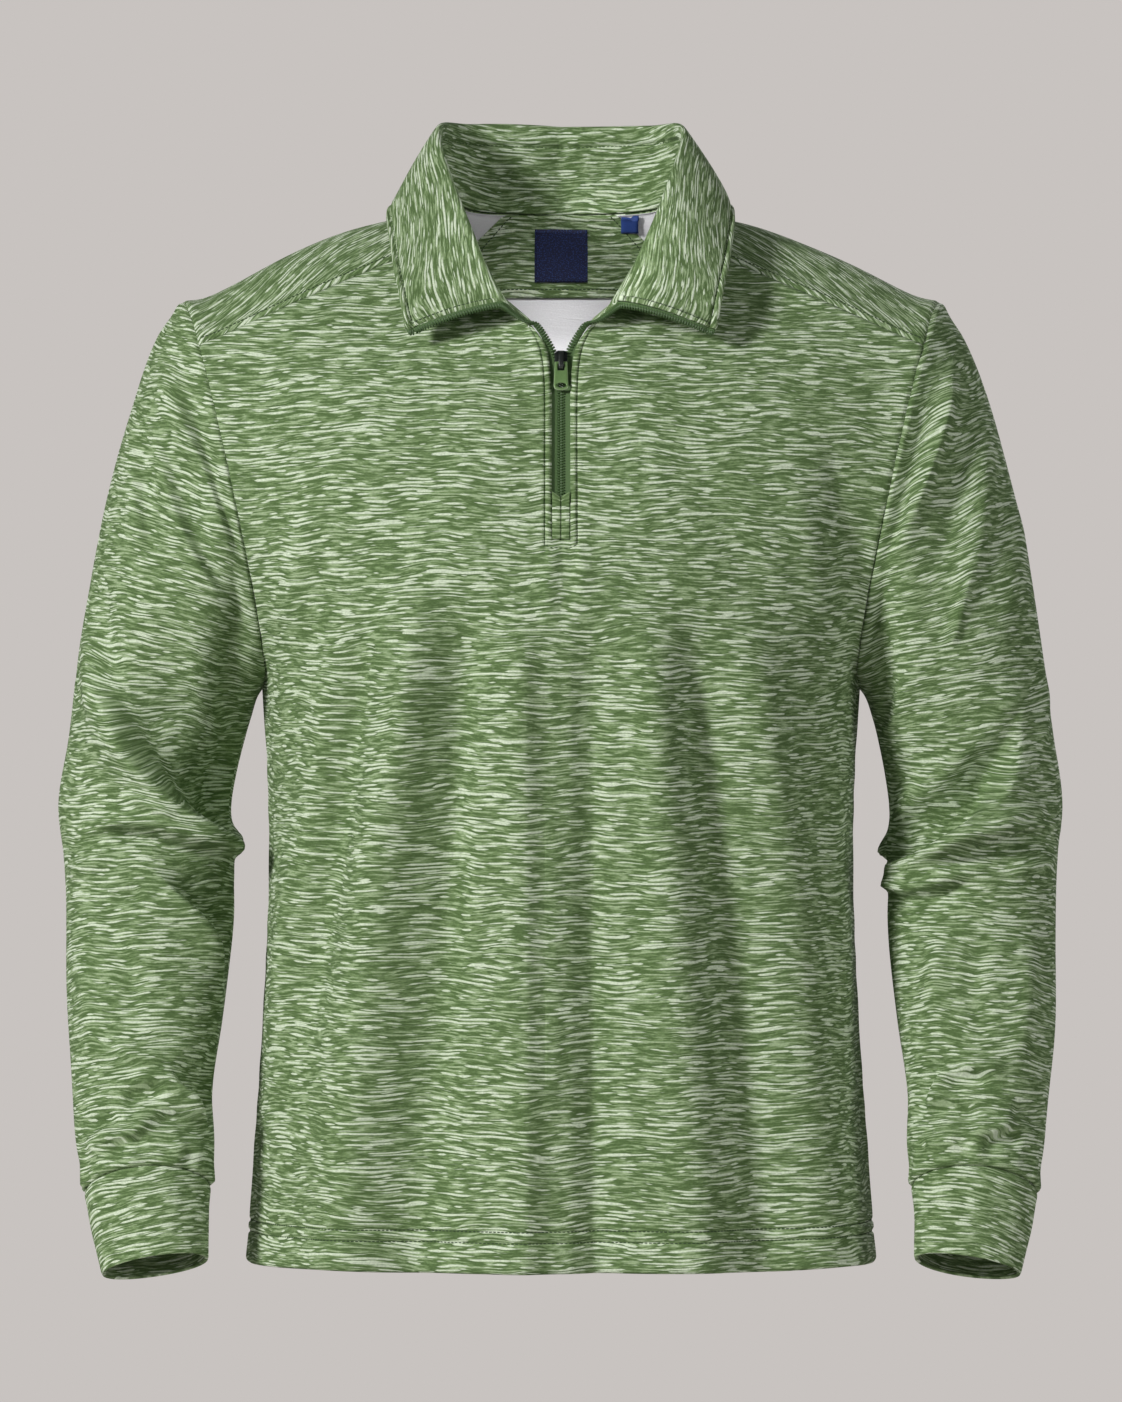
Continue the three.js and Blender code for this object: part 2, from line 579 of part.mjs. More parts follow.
// A sheet is a grid of outer points with a name. It is closed if its last column meets its first.
const sheets = [];
function addSheet(name, grid, options) {
  const usual = { closed: false, thickness: wall.knit, isCut: () => false, insets: {} };
  const sheet = { name, grid, ...usual, ...options };
  sheet.normals = gridNormals(grid, sheet.closed);
  sheets.push(sheet);
  return sheet;
}

// Where sewn edges meet, both walls take their thickness along one shared direction.
function shareSeamNormals() {
  const totals = new Map();
  const key = (p) => [p.x, p.y, p.z].map((value) => Math.round(value * 20)).join(" ");
  for (const sheet of sheets) {
    sheet.grid.forEach((row, j) => row.forEach((p, i) => {
      const total = totals.get(key(p)) ?? new THREE.Vector3();
      totals.set(key(p), total.add(sheet.normals[j][i]));
    }));
  }
  for (const sheet of sheets) {
    sheet.grid.forEach((row, j) => row.forEach((p, i) => {
      const shared = totals.get(key(p)).clone().normalize();
      if (shared.dot(sheet.normals[j][i]) > 0.4) sheet.normals[j][i].copy(shared);
    }));
  }
}

// Draws a sewn edge back from the seam, by half of the seam's gap.
function drawBack(sheet) {
  const { grid, insets } = sheet;
  const lastRow = grid.length - 1;
  const lastColumn = grid[0].length - 1;
  const pull = (p, towards) => p.add(towards.clone().sub(p).setLength(seamGap / 2));
  const before = grid.map((row) => row.map((p) => p.clone()));
  for (let i = 0; i <= lastColumn; i += 1) {
    if (insets.firstRow) pull(grid[0][i], before[1][i]);
    if (insets.lastRow) pull(grid[lastRow][i], before[lastRow - 1][i]);
  }
  if (!insets.sides) return;
  for (let j = 0; j <= lastRow; j += 1) {
    pull(grid[j][0], before[j][1]);
    pull(grid[j][lastColumn], before[j][lastColumn - 1]);
  }
}

// Closes a sheet into a wall: its outer face, its inner face and a rim along every edge.
function wallGeometry(sheet) {
  const { grid, normals, closed, thickness, isCut } = sheet;
  const rows = grid.length;
  const columns = grid[0].length;
  const positions = [];
  const index = [];
  const outer = (j, i) => j * columns + (i % columns);
  const inner = (j, i) => rows * columns + outer(j, i);
  grid.forEach((row) => row.forEach((p) => positions.push(p.x, p.y, p.z)));
  grid.forEach((row, j) => row.forEach((p, i) => {
    const behind = p.clone().addScaledVector(normals[j][i], -thickness);
    positions.push(behind.x, behind.y, behind.z);
  }));
  const cellColumns = closed ? columns : columns - 1;
  const isThere = (j, i) => {
    if (j < 0 || j >= rows - 1) return false;
    if (!closed && (i < 0 || i >= cellColumns)) return false;
    return !isCut(j, (i + cellColumns) % cellColumns);
  };
  const at = (j, i) => grid[j][i % columns];
  for (let j = 0; j < rows - 1; j += 1) {
    for (let i = 0; i < cellColumns; i += 1) {
      if (!isThere(j, i)) continue;
      const rising = at(j, i).distanceTo(at(j + 1, i + 1)) <= at(j, i + 1).distanceTo(at(j + 1, i));
      const halves = rising
        ? [[[j, i], [j, i + 1], [j + 1, i + 1]], [[j, i], [j + 1, i + 1], [j + 1, i]]]
        : [[[j, i], [j, i + 1], [j + 1, i]], [[j, i + 1], [j + 1, i + 1], [j + 1, i]]];
      for (const [a, b, c] of halves) {
        index.push(outer(...a), outer(...b), outer(...c));
        index.push(inner(...a), inner(...c), inner(...b));
      }
      const rims = [
        [j - 1, i, [j, i], [j, i + 1]],
        [j + 1, i, [j + 1, i + 1], [j + 1, i]],
        [j, i - 1, [j + 1, i], [j, i]],
        [j, i + 1, [j, i + 1], [j + 1, i + 1]],
      ];
      for (const [nextRow, nextColumn, a, b] of rims) {
        if (isThere(nextRow, nextColumn)) continue;
        index.push(outer(...b), outer(...a), inner(...a), outer(...b), inner(...a), inner(...b));
      }
    }
  }
  const geometry = new THREE.BufferGeometry();
  geometry.setAttribute("position", new THREE.Float32BufferAttribute(positions, 3));
  geometry.setIndex(index);
  const used = geometry.toNonIndexed();
  used.computeVertexNormals();
  return used;
}

const finishes = {
  knit: new THREE.MeshStandardMaterial({ color: 0x7f9f66, roughness: 0.9, metalness: 0 }),
  tape: new THREE.MeshStandardMaterial({ color: 0x5f7f47, roughness: 0.8, metalness: 0 }),
  metal: new THREE.MeshStandardMaterial({ color: 0x2f3430, roughness: 0.35, metalness: 0.9 }),
  enamel: new THREE.MeshStandardMaterial({ color: 0x6f8a58, roughness: 0.35, metalness: 0.6 }),
  navy: new THREE.MeshStandardMaterial({ color: 0x151c3f, roughness: 0.7, metalness: 0 }),
  blue: new THREE.MeshStandardMaterial({ color: 0x1d3b80, roughness: 0.7, metalness: 0 }),
};

const garment = new THREE.Group();
function addMesh(name, geometry, material, parent = garment) {
  const mesh = new THREE.Mesh(geometry, material);
  mesh.name = name;
  parent.add(mesh);
  return mesh;
}

const front = makeFront();
const back = makeBack();
const zipBottomRow = cells.lowerRows + 0.4 * cells.frontArmhole;
const frontSheet = addSheet("front", front.grid, {
  insets: { lastRow: true, sides: true },
  isCut: (j, i) => i === front.half && j >= zipBottomRow,
});
const backSheet = addSheet("back", back, { insets: { lastRow: true, sides: true } });
const flip = (grid) => grid.map((row) => row.map(mirrored).reverse());
const sewnRound = { closed: true, insets: { firstRow: true, lastRow: true } };
const cuff = { closed: true, thickness: wall.doubled, insets: { firstRow: true } };
addSheet("sleeve_left", makeSleeve(sleeveFolds.left), sewnRound);
addSheet("sleeve_right", flip(makeSleeve(sleeveFolds.right)), sewnRound);
addSheet("cuff_left", makeCuff(), cuff);
addSheet("cuff_right", flip(makeCuff()), cuff);
shareSeamNormals();
sheets.forEach(drawBack);
const collarSheet = addSheet("collar", makeCollar(), { thickness: wall.doubled });

// A zip tape follows the slit's edge and then the collar's front edge. It lies behind the panel, and then
// between the collar's two layers. These are its two long edges, measured from the cloth's edge into the
// opening, at each row of its path.
const tapeEdges = [
  { at: 0, from: -3.5, to: 5.9 }, { at: 3, from: -3.5, to: 5.9 }, { at: 4, from: -3.5, to: 5.6 },
  { at: 5, from: 0.7, to: 4.4 }, { at: 6, from: 0.9, to: 3.9 }, { at: 7, from: 0.9, to: 3.6 },
  { at: 9, from: 0.5, to: 3.5 }, { at: 30, from: 0.5, to: 3.4 },
];
function makeTape() {
  const path = [];
  for (let j = zipBottomRow; j < front.grid.length; j += 1) {
    const frontNormal = frontSheet.normals[j][front.half + 1].clone();
    path.push({ p: front.grid[j][front.half + 1].clone(), frontNormal, depth: wall.knit + layerGap });
  }
  const collarColumn = collarSheet.grid[0].length - 1;
  collarSheet.grid.forEach((row, j) => {
    const frontNormal = collarSheet.normals[j][collarColumn].clone().negate();
    path.push({ p: row[collarColumn].clone(), frontNormal, depth: -(wall.doubled + wall.tape) / 2 });
  });
  const columns = [[], []];
  path.forEach(({ p, frontNormal, depth }, k) => {
    const before = path[Math.max(0, k - 1)].p;
    const after = path[Math.min(path.length - 1, k + 1)].p;
    const inwards = frontNormal.clone().cross(after.clone().sub(before)).normalize();
    const { from, to } = readTable(tapeEdges, "at", k);
    const face = p.clone().addScaledVector(frontNormal, -depth);
    columns[0].push(face.clone().addScaledVector(inwards, from));
    columns[1].push(face.clone().addScaledVector(inwards, to));
  });
  return columns[0].map((p, k) => [columns[1][k], p]);
}
const tape = makeTape();
addSheet("zip_tape_left", tape, { thickness: wall.tape });
addSheet("zip_tape_right", flip(tape), { thickness: wall.tape });

// The folded cloth that closes the slit below the zip, in two narrow strips that meet in the middle.
function makeZipEnd() {
  const across = [0.2, zipHalfGap - 0.35];
  const low = front.grid[zipBottomRow][front.half];
  const high = front.grid[zipBottomRow + 1][front.half];
  return [0.02, 0.5, 1].map((share) => across.map((x) => {
    const slant = share === 1 ? 0.35 * (x - across[0]) : 0; // the top edge slants up to its outer corner
    return new THREE.Vector3(x, lerp(low.y, high.y, share) + 0.1, lerp(low.z, high.z, share) + slant);
  }));
}
addSheet("zip_end_left", makeZipEnd(), { thickness: wall.knit - 0.1 });
addSheet("zip_end_right", flip(makeZipEnd()), { thickness: wall.knit - 0.1 });

// How much of each corner of a triangle makes up a place, seen from the front, or null if it lies outside.
function sharesOf(x, z, [a, b, c]) {
  const area = (b.x - a.x) * (c.z - a.z) - (c.x - a.x) * (b.z - a.z);
  const u = ((x - a.x) * (c.z - a.z) - (c.x - a.x) * (z - a.z)) / area;
  const v = ((b.x - a.x) * (z - a.z) - (x - a.x) * (b.z - a.z)) / area;
  return u < -0.02 || v < -0.02 || u + v > 1.02 ? null : [1 - u - v, u, v];
}

// A point at a given depth under the back panel's outer face, found by its place across and its height.
function underBack(x, z, depth) {
  const { grid, normals } = backSheet;
  for (let j = cells.lowerRows; j < grid.length - 1; j += 1) {
    for (let i = cells.shoulder; i < grid[0].length - 1 - cells.shoulder; i += 1) {
      for (const [di, dj] of [[1, 0], [0, 1]]) {
        const corners = [[j, i], [j + dj, i + di], [j + 1, i + 1]];
        const shares = sharesOf(x, z, corners.map(([row, column]) => grid[row][column]));
        if (!shares) continue;
        const place = new THREE.Vector3();
        const normal = new THREE.Vector3();
        corners.forEach(([row, column], k) => {
          place.addScaledVector(grid[row][column], shares[k]);
          normal.addScaledVector(normals[row][column], shares[k]);
        });
        return place.addScaledVector(normal.normalize(), -depth);
      }
    }
  }
  throw new Error(`no back panel at ${x}, ${z}`);
}

// What is sewn inside the back of the neck, level by level.
const lockerPatch = [
  { z: -7.2, halfWidth: 38 },
  { z: -28, halfWidth: 62 },
  { z: -40, halfWidth: 66 },
  { z: -61, halfWidth: 66 },
];
const neckLabel = [
  { z: -14.5, halfWidth: 18.5 },
  { z: -32, halfWidth: 18.5 },
  { z: -49.5, halfWidth: 18.5 },
];
const sizeTab = [{ z: -6, halfWidth: 6 }, { z: -17.5, halfWidth: 6 }];
function layOnBack(name, levels, columns, middle, depth, thickness) {
  const grid = levels.slice().reverse().map(({ z, halfWidth }) => {
    const row = [];
    for (let i = 0; i <= columns; i += 1) {
      row.push(underBack(middle + halfWidth * ((2 * i) / columns - 1), z, depth));
    }
    return row;
  });
  return addSheet(name, grid, { thickness });
}
const patchDepth = wall.knit + layerGap + wall.knit;
const onPatchDepth = patchDepth + 1.5 * layerGap + wall.label;
layOnBack("locker_patch", lockerPatch, 8, 0, patchDepth, wall.knit);
layOnBack("neck_label", neckLabel, 3, 0, onPatchDepth, wall.label);
layOnBack("size_tab", sizeTab, 1, 49, onPatchDepth, wall.label);

const ownFinish = {
  zip_tape_left: finishes.tape,
  zip_tape_right: finishes.tape,
  neck_label: finishes.navy,
  size_tab: finishes.blue,
};
for (const sheet of sheets) addMesh(sheet.name, wallGeometry(sheet), ownFinish[sheet.name] ?? finishes.knit);

// The zip's slider, in its own frame: z runs up along the zip, -y faces away from the chest and y = 0 is the
// tape's face.
const zipFrame = { y: -92.7, z: -114.5, tilt: -18 };
const slider = {
  halfLength: 7.3, halfWidth: 4.3, wingThickness: 0.9, frontWing: -2.6, backWing: 2.4,
  bridgeHalfWidth: 1.6, bridgeOuter: -6.4, bridgeInner: -5.2,
  flangeWidth: 0.9, flangeLength: 9.6, tapeGap: 0.35,
};
const tab = {
  thickness: 1.3, axisY: -3.9, axisZ: -2, barHalf: 0.8, bottom: -21.7,
  topHalfWidth: 4.2, bottomHalfWidth: 4.9, slotHalfWidth: 2.3, slotBottom: -7.5,
  eyeZ: -18, eyeHalfWidth: 3.5, eyeHalfHeight: 1.7,
};
const wasm = await Module();
wasm.setup();

function toSolid(geometry) {
  const plain = geometry.clone();
  plain.deleteAttribute("normal");
  plain.deleteAttribute("uv");
  const merged = mergeVertices(plain, 1e-4);
  const vertProperties = new Float32Array(merged.attributes.position.array);
  const triVerts = new Uint32Array(merged.index.array);
  return new wasm.Manifold(new wasm.Mesh({ numProp: 3, vertProperties, triVerts }));
}

function toGeometry(solid) {
  const mesh = solid.getMesh();
  const geometry = new THREE.BufferGeometry();
  geometry.setAttribute("position", new THREE.Float32BufferAttribute(mesh.vertProperties, 3));
  geometry.setIndex(Array.from(mesh.triVerts));
  const flat = geometry.toNonIndexed();
  flat.computeVertexNormals();
  return flat;
}

// A flat plate whose outline is drawn in x and z, with its front face at y.
function plate(shape, y, thickness) {
  const options = { depth: thickness, bevelEnabled: false, curveSegments: 6 };
  return new THREE.ExtrudeGeometry(shape, options).rotateX(Math.PI / 2).translate(0, y + thickness, 0);
}

function wingShape() {
  const { halfLength, halfWidth } = slider;
  const shape = new THREE.Shape();
  shape.moveTo(-halfWidth * 0.72, -halfLength);
  shape.lineTo(halfWidth * 0.72, -halfLength);
  shape.quadraticCurveTo(halfWidth, -halfLength, halfWidth, -halfLength + 2.4);
  shape.lineTo(halfWidth, halfLength - 3);
  shape.quadraticCurveTo(halfWidth * 0.9, halfLength, halfWidth * 0.35, halfLength);
  shape.lineTo(-halfWidth * 0.35, halfLength);
  shape.quadraticCurveTo(-halfWidth * 0.9, halfLength, -halfWidth, halfLength - 3);
  shape.lineTo(-halfWidth, -halfLength + 2.4);
  shape.quadraticCurveTo(-halfWidth, -halfLength, -halfWidth * 0.72, -halfLength);
  return shape;
}

// The bridge that the tab hangs from, an arch on the front wing.
function makeBridge() {
  const { frontWing, bridgeHalfWidth, bridgeOuter, bridgeInner } = slider;
  const foot = frontWing + 0.3;
  const arch = new THREE.Shape();
  arch.moveTo(6.4, foot);
  arch.quadraticCurveTo(6.2, bridgeOuter, 2.6, bridgeOuter);
  arch.lineTo(-4, bridgeOuter);
  arch.quadraticCurveTo(-6.7, bridgeOuter, -6.9, foot);
  arch.lineTo(-5.6, foot);
  arch.quadraticCurveTo(-5.6, bridgeInner, -3.6, bridgeInner);
  arch.lineTo(2, bridgeInner);
  arch.quadraticCurveTo(4.6, bridgeInner, 4.8, foot);
  arch.lineTo(6.4, foot);
  const options = { depth: 2 * bridgeHalfWidth, bevelEnabled: false, curveSegments: 5 };
  const bridge = new THREE.ExtrudeGeometry(arch, options);
  // The arch is drawn along z and y, and its depth becomes x.
  const [x, y, z] = [[1, 0, 0], [0, 1, 0], [0, 0, 1]].map((axis) => new THREE.Vector3(...axis));
  const turned = new THREE.Matrix4().makeBasis(z, y, x.negate());
  return bridge.applyMatrix4(turned).translate(bridgeHalfWidth, 0, 0);
}

function makeSlider() {
  const { frontWing, backWing, wingThickness, halfLength, halfWidth } = slider;
  const { flangeWidth, flangeLength, tapeGap } = slider;
  const wings = [frontWing, backWing].map((y) => plate(wingShape(), y, wingThickness));
  const depth = backWing - frontWing;
  const post = new THREE.BoxGeometry(1.6, depth, 2.2);
  post.translate(0, frontWing + 0.4 + depth / 2, halfLength - 1.6);
  // Flanges along both sides of each wing reach to just clear of the tapes.
  const flanges = [];
  for (const side of [-1, 1]) {
    for (const [from, to] of [[frontWing + 0.4, -tapeGap], [wall.tape + tapeGap, backWing + 0.4]]) {
      const flange = new THREE.BoxGeometry(flangeWidth, to - from, flangeLength);
      flanges.push(flange.translate(side * (halfWidth - flangeWidth / 2 - 0.05), (from + to) / 2, -0.8));
    }
  }
  const solids = [...wings, ...flanges, post, makeBridge()].map(toSolid);
  return toGeometry(solids.reduce((whole, piece) => whole.add(piece)));
}

// The pull tab is drawn about its hinge, hanging down.
function makeTab() {
  const { thickness, axisZ, barHalf, topHalfWidth, bottomHalfWidth, slotHalfWidth } = tab;
  const bottom = tab.bottom - axisZ;
  const shape = new THREE.Shape();
  shape.moveTo(-topHalfWidth + 0.8, barHalf);
  shape.quadraticCurveTo(-topHalfWidth, barHalf, -topHalfWidth, barHalf - 0.8);
  shape.lineTo(-bottomHalfWidth, bottom + 3.4);
  shape.quadraticCurveTo(-bottomHalfWidth, bottom, 0, bottom);
  shape.quadraticCurveTo(bottomHalfWidth, bottom, bottomHalfWidth, bottom + 3.4);
  shape.lineTo(topHalfWidth, barHalf - 0.8);
  shape.quadraticCurveTo(topHalfWidth, barHalf, topHalfWidth - 0.8, barHalf);
  shape.lineTo(-topHalfWidth + 0.8, barHalf);
  const slot = new THREE.Path();
  const slotBottom = tab.slotBottom - axisZ;
  slot.moveTo(-slotHalfWidth, -barHalf);
  slot.lineTo(slotHalfWidth, -barHalf);
  slot.lineTo(slotHalfWidth, slotBottom);
  slot.lineTo(-slotHalfWidth, slotBottom);
  slot.lineTo(-slotHalfWidth, -barHalf);
  const eye = new THREE.Path();
  eye.absellipse(0, tab.eyeZ - axisZ, tab.eyeHalfWidth, tab.eyeHalfHeight, 0, 2 * Math.PI, false, 0);
  shape.holes.push(slot, eye);
  return plate(shape, -thickness / 2, thickness);
}

const zip = new THREE.Group();
zip.position.set(0, zipFrame.y, zipFrame.z);
zip.rotation.x = radians(zipFrame.tilt);
garment.add(zip);
addMesh("zip_slider", makeSlider(), finishes.metal, zip);
addMesh("pull_tab", makeTab(), finishes.enamel, zip).position.set(0, tab.axisY, tab.axisZ);

export default garment;
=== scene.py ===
import math
import time

import bmesh
import bpy
import numpy as np
from mathutils import Matrix, Vector
from mathutils.bvhtree import BVHTree


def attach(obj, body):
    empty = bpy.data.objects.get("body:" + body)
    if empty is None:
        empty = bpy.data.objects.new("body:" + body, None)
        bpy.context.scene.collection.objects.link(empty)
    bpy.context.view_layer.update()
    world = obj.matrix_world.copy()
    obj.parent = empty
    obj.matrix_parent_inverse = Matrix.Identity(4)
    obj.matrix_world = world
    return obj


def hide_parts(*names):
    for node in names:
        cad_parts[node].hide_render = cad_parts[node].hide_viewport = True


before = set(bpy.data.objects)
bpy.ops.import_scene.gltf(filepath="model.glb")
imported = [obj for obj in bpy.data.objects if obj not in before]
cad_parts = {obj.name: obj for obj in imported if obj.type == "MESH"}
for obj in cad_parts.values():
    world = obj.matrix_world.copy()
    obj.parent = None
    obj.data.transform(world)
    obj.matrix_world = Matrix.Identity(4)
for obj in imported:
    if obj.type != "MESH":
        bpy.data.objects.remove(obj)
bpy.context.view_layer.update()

# A quarter zip pullover in a streaked knit. Sizes are in millimetres and are scaled to metres as each mesh is
# made. +Z is up, the front faces -Y and +X is the wearer's left.
started = time.time()
fine = 7  # steps of the fine cloth in each cell of the solids
wall = {"knit": 1.5, "doubled": 2.3, "tape": 1.1, "label": 0.9}
layerGap = 0.4
hemHeight = -721
underarm = np.array([203, 0, -326.0])
shoulderTip = np.array([257.5, 0, -70.0])
armholeHalfDepth = 70
creaseDepth = 1.8  # how deep the drawn creases are, beside their table
seamAngle = 41  # where the shoulder seam meets the armhole
seamNeckEnd = np.array([80, -36, -30.0])
zipHalfGap = 6.2
neckGuide = 0.34
neckSeamShare = 0.38
bodySquareness = 2.25
cuffBow = 7
sleeveLength = 640


def say(text):
    print(f"{text}, {time.time() - started:.1f} s")


def table(names, rows):
    rows = np.array(rows, float)
    return {name: rows[:, k] for k, name in enumerate(names.split())}


def readTable(rows, key, at):
    # every column of a table at each place, on a smooth line through its rows
    keys = rows[key]
    last = len(keys) - 1
    at = np.clip(np.asarray(at, float), keys[0], keys[-1])
    i = np.clip(np.searchsorted(keys, at) - 1, 0, last - 1)
    span = keys[i + 1] - keys[i]
    t = (at - keys[i]) / span
    h, k = np.maximum(i - 1, 0), np.minimum(i + 2, last)
    read = {}
    for name, column in rows.items():
        slope = (column[i + 1] - column[i]) / span
        before = np.where(i > 0, (column[i + 1] - column[h]) / (keys[i + 1] - keys[h]), slope)
        after = np.where(i + 2 <= last, (column[k] - column[i]) / (keys[k] - keys[i]), slope)
        read[name] = ((2 * t**3 - 3 * t**2 + 1) * column[i] + (t**3 - 2 * t**2 + t) * span * before
                      + (3 * t**2 - 2 * t**3) * column[i + 1] + (t**3 - t**2) * span * after)
    return read


def readPoint(rows, at):
    read = readTable(rows, "at", at)
    return np.stack([read["x"], read["y"], read["z"]], -1)


def smooth(value, low, high):
    t = np.clip((np.asarray(value, float) - low) / (high - low), 0, 1)
    return t * t * (3 - 2 * t)


def mirrored(points):
    return points * np.array([-1.0, 1, 1])


def unit(vectors):
    return vectors / np.maximum(np.linalg.norm(vectors, axis=-1, keepdims=True), 1e-9)


def places(*stretches):
    # the places of columns or rows: each stretch is (from, to, steps), and the ends that meet are kept once
    parts = [np.linspace(a, b, steps + 1) for a, b, steps in stretches]
    return np.concatenate([parts[0]] + [part[1:] for part in parts[1:]])


# The garment's form, as in the solids.
bodySections = table("z halfWidth front back", [
    (-721, 212.5, 124, 118), (-660, 209, 124, 116), (-578, 203, 125, 113), (-496, 198.5, 127, 111),
    (-435, 197.5, 130, 113), (-380, 199, 133, 117), (-326, 203, 136, 120)])
frontNeckLine = table("at x y z", [
    (0, 87, -127.5, -326), (0.25, 87, -126, -252), (0.5, 86, -112, -178), (0.75, 84, -82, -104),
    (1, 80, -36, -30)])
frontZipLine = table("at x y z", [
    (0, 6.2, -136, -326), (0.2, 6.2, -136, -279), (0.4, 6.2, -130.5, -234), (0.5, 6.2, -124, -205),
    (0.6, 6.2, -113, -169), (0.7, 6.2, -101.5, -136), (0.8, 7.5, -95, -116), (0.9, 11, -90.5, -102),
    (1, 20, -86, -89.5)])
backNeckLine = table("at x y z", [
    (0, 84, 113, -326), (0.28, 88, 113, -205), (0.5, 91, 98, -115), (0.66, 98, 68, -48),
    (0.78, 105, 34, -13), (0.87, 105, 6, -3), (0.94, 99, -15, -16), (1, 80, -36, -30)])
backSideLine = table("at x y z", [
    (0, 62, 117, -326), (0.3, 66, 118, -205), (0.55, 72, 104, -112), (0.78, 80, 72, -42),
    (0.92, 86, 36, -4), (1, 88, 6, 5)])
backCentreLine = table("at x y z", [
    (0, 0, 120, -326), (0.3, 0, 121, -220), (0.55, 0, 114, -135), (0.8, 0, 88, -58), (1, 0, 58, -7)])
neckEdge = table("at x y z", [
    (0, 20, -86, -89.5), (0.18, 52, -66, -63), (0.38, 80, -36, -30), (0.57, 88, 6, 1),
    (0.78, 58, 44, -5), (1, 0, 58, -7)])
collarFold = table("at x y z", [
    (0, 40, -95, -74), (0.18, 57, -74, -34), (0.38, 74, -40, 14), (0.57, 82, 2, 50.5),
    (0.78, 60, 46, 54.5), (1, 0, 63, 53.5)])
collarEdge = table("at x y z", [
    (0, 104, -96, -93), (0.18, 109, -90, -66), (0.38, 115, -64, -37), (0.57, 117, -18, -8),
    (0.78, 91, 60, -12), (1, 0, 78, -14)])
sleeveSections = table("at outerX outerZ innerX innerZ halfDepth y lean", [
    (0, 257.5, -70, 203, -326, 70, 0, 0), (0.06, 274, -94, 204, -329, 70, 0, 0),
    (0.14, 290, -136, 205.5, -333, 69, 0, 0), (0.24, 306, -192, 208, -340, 67, 0, 0),
    (0.34, 318, -250, 211, -350, 65, 0, 0), (0.44, 328, -310, 215.5, -366, 62, 1, 0),
    (0.53, 334.5, -364, 221, -392, 58, 2, 1), (0.6, 341, -410, 224, -418, 56, 1, 4),
    (0.66, 338, -447, 222, -447, 55, -4, 8), (0.75, 336, -503, 222.5, -497, 52, -14, 11),
    (0.84, 334, -560, 228.5, -553, 47, -27, 14), (0.92, 328.5, -610, 234.5, -604, 41, -40, 17),
    (0.97, 325, -646, 233, -640, 38, -50, 18), (1, 319.5, -671, 236.5, -666, 31, -56, 19)])
cuffSections = table("at outerX outerZ innerX innerZ halfDepth y lean", [
    (0, 319.5, -671, 236.5, -666, 31, -56, 19), (0.4, 316, -692, 236.5, -685, 29.5, -63, 20),
    (1, 307.5, -725, 236, -714, 26, -75, 20)])

# The drapes from the chest to the hem: (height, half breadth at the top and at the hem, path in x and z).
frontDrapes = [
    (17, 18, 25, [(-103, -262), (-108, -354), (-122, -464), (-128, -530), (-136, -597), (-141, -650), (-146, -721)]),
    (-14, 17, 25, [(-66, -262), (-69, -354), (-77, -464), (-83, -530), (-90, -597), (-95, -650), (-100, -721)]),
    (10, 18, 22, [(-30, -275), (-28, -354), (-24, -476), (-22, -612), (-24, -721)]),
    (-12, 19, 22, [(14, -280), (14, -354), (18, -476), (20, -612), (24, -721)]),
    (11, 18, 24, [(58, -272), (62, -354), (72, -476), (82, -612), (92, -721)]),
    (-11, 14, 21, [(90, -280), (94, -354), (112, -476), (126, -612), (138, -721)]),
    (10, 15, 21, [(126, -285), (134, -354), (154, -476), (168, -612), (180, -721)]),
    (-8.5, 12, 14, [(-124, -275), (-131, -354), (-157, -476), (-172, -560)]),
    (6, 11, 13, [(-148, -280), (-156, -354), (-176, -476), (-188, -560)]),
]
backDrapes = [
    (9, 20, 26, [(-60, -190), (-64, -354), (-70, -540), (-76, -721)]),
    (8, 20, 26, [(56, -200), (62, -354), (72, -540), (82, -721)]),
    (-8, 20, 25, [(0, -240), (2, -400), (6, -560), (4, -721)]),
    (-7, 15, 21, [(-104, -250), (-108, -400), (-114, -560), (-122, -721)]),
    (-7, 15, 21, [(100, -260), (106, -400), (116, -560), (126, -721)]),
    (6, 16, 20, [(-140, -240), (-146, -400), (-156, -560), (-166, -721)]),
    (6, 16, 20, [(136, -250), (146, -400), (160, -560), (170, -721)]),
]
# The largest creases of a sleeve: (along, around, to along, to around, half breadth, height).
sleeveFolds = {
    "right": [
        (0.04, 120, 0.42, 152, 13, -5), (0.06, 96, 0.44, 118, 15, 3.5), (0.42, 42, 0.64, 150, 18, 5),
        (0.55, 235, 0.6, 330, 13, -6), (0.63, 215, 0.66, 310, 12, 5), (0.87, 220, 0.9, 320, 10, -4.5),
        (0.05, 235, 0.36, 212, 14, -6)],
    "left": [
        (0.04, 122, 0.4, 158, 13, -6), (0.06, 98, 0.4, 126, 14, 4), (0.46, 44, 0.61, 150, 18, 5),
        (0.54, 238, 0.61, 325, 13, -6), (0.64, 210, 0.65, 300, 12, 5), (0.88, 225, 0.87, 320, 10, -4.5),
        (0.05, 232, 0.38, 210, 14, -6)],
}


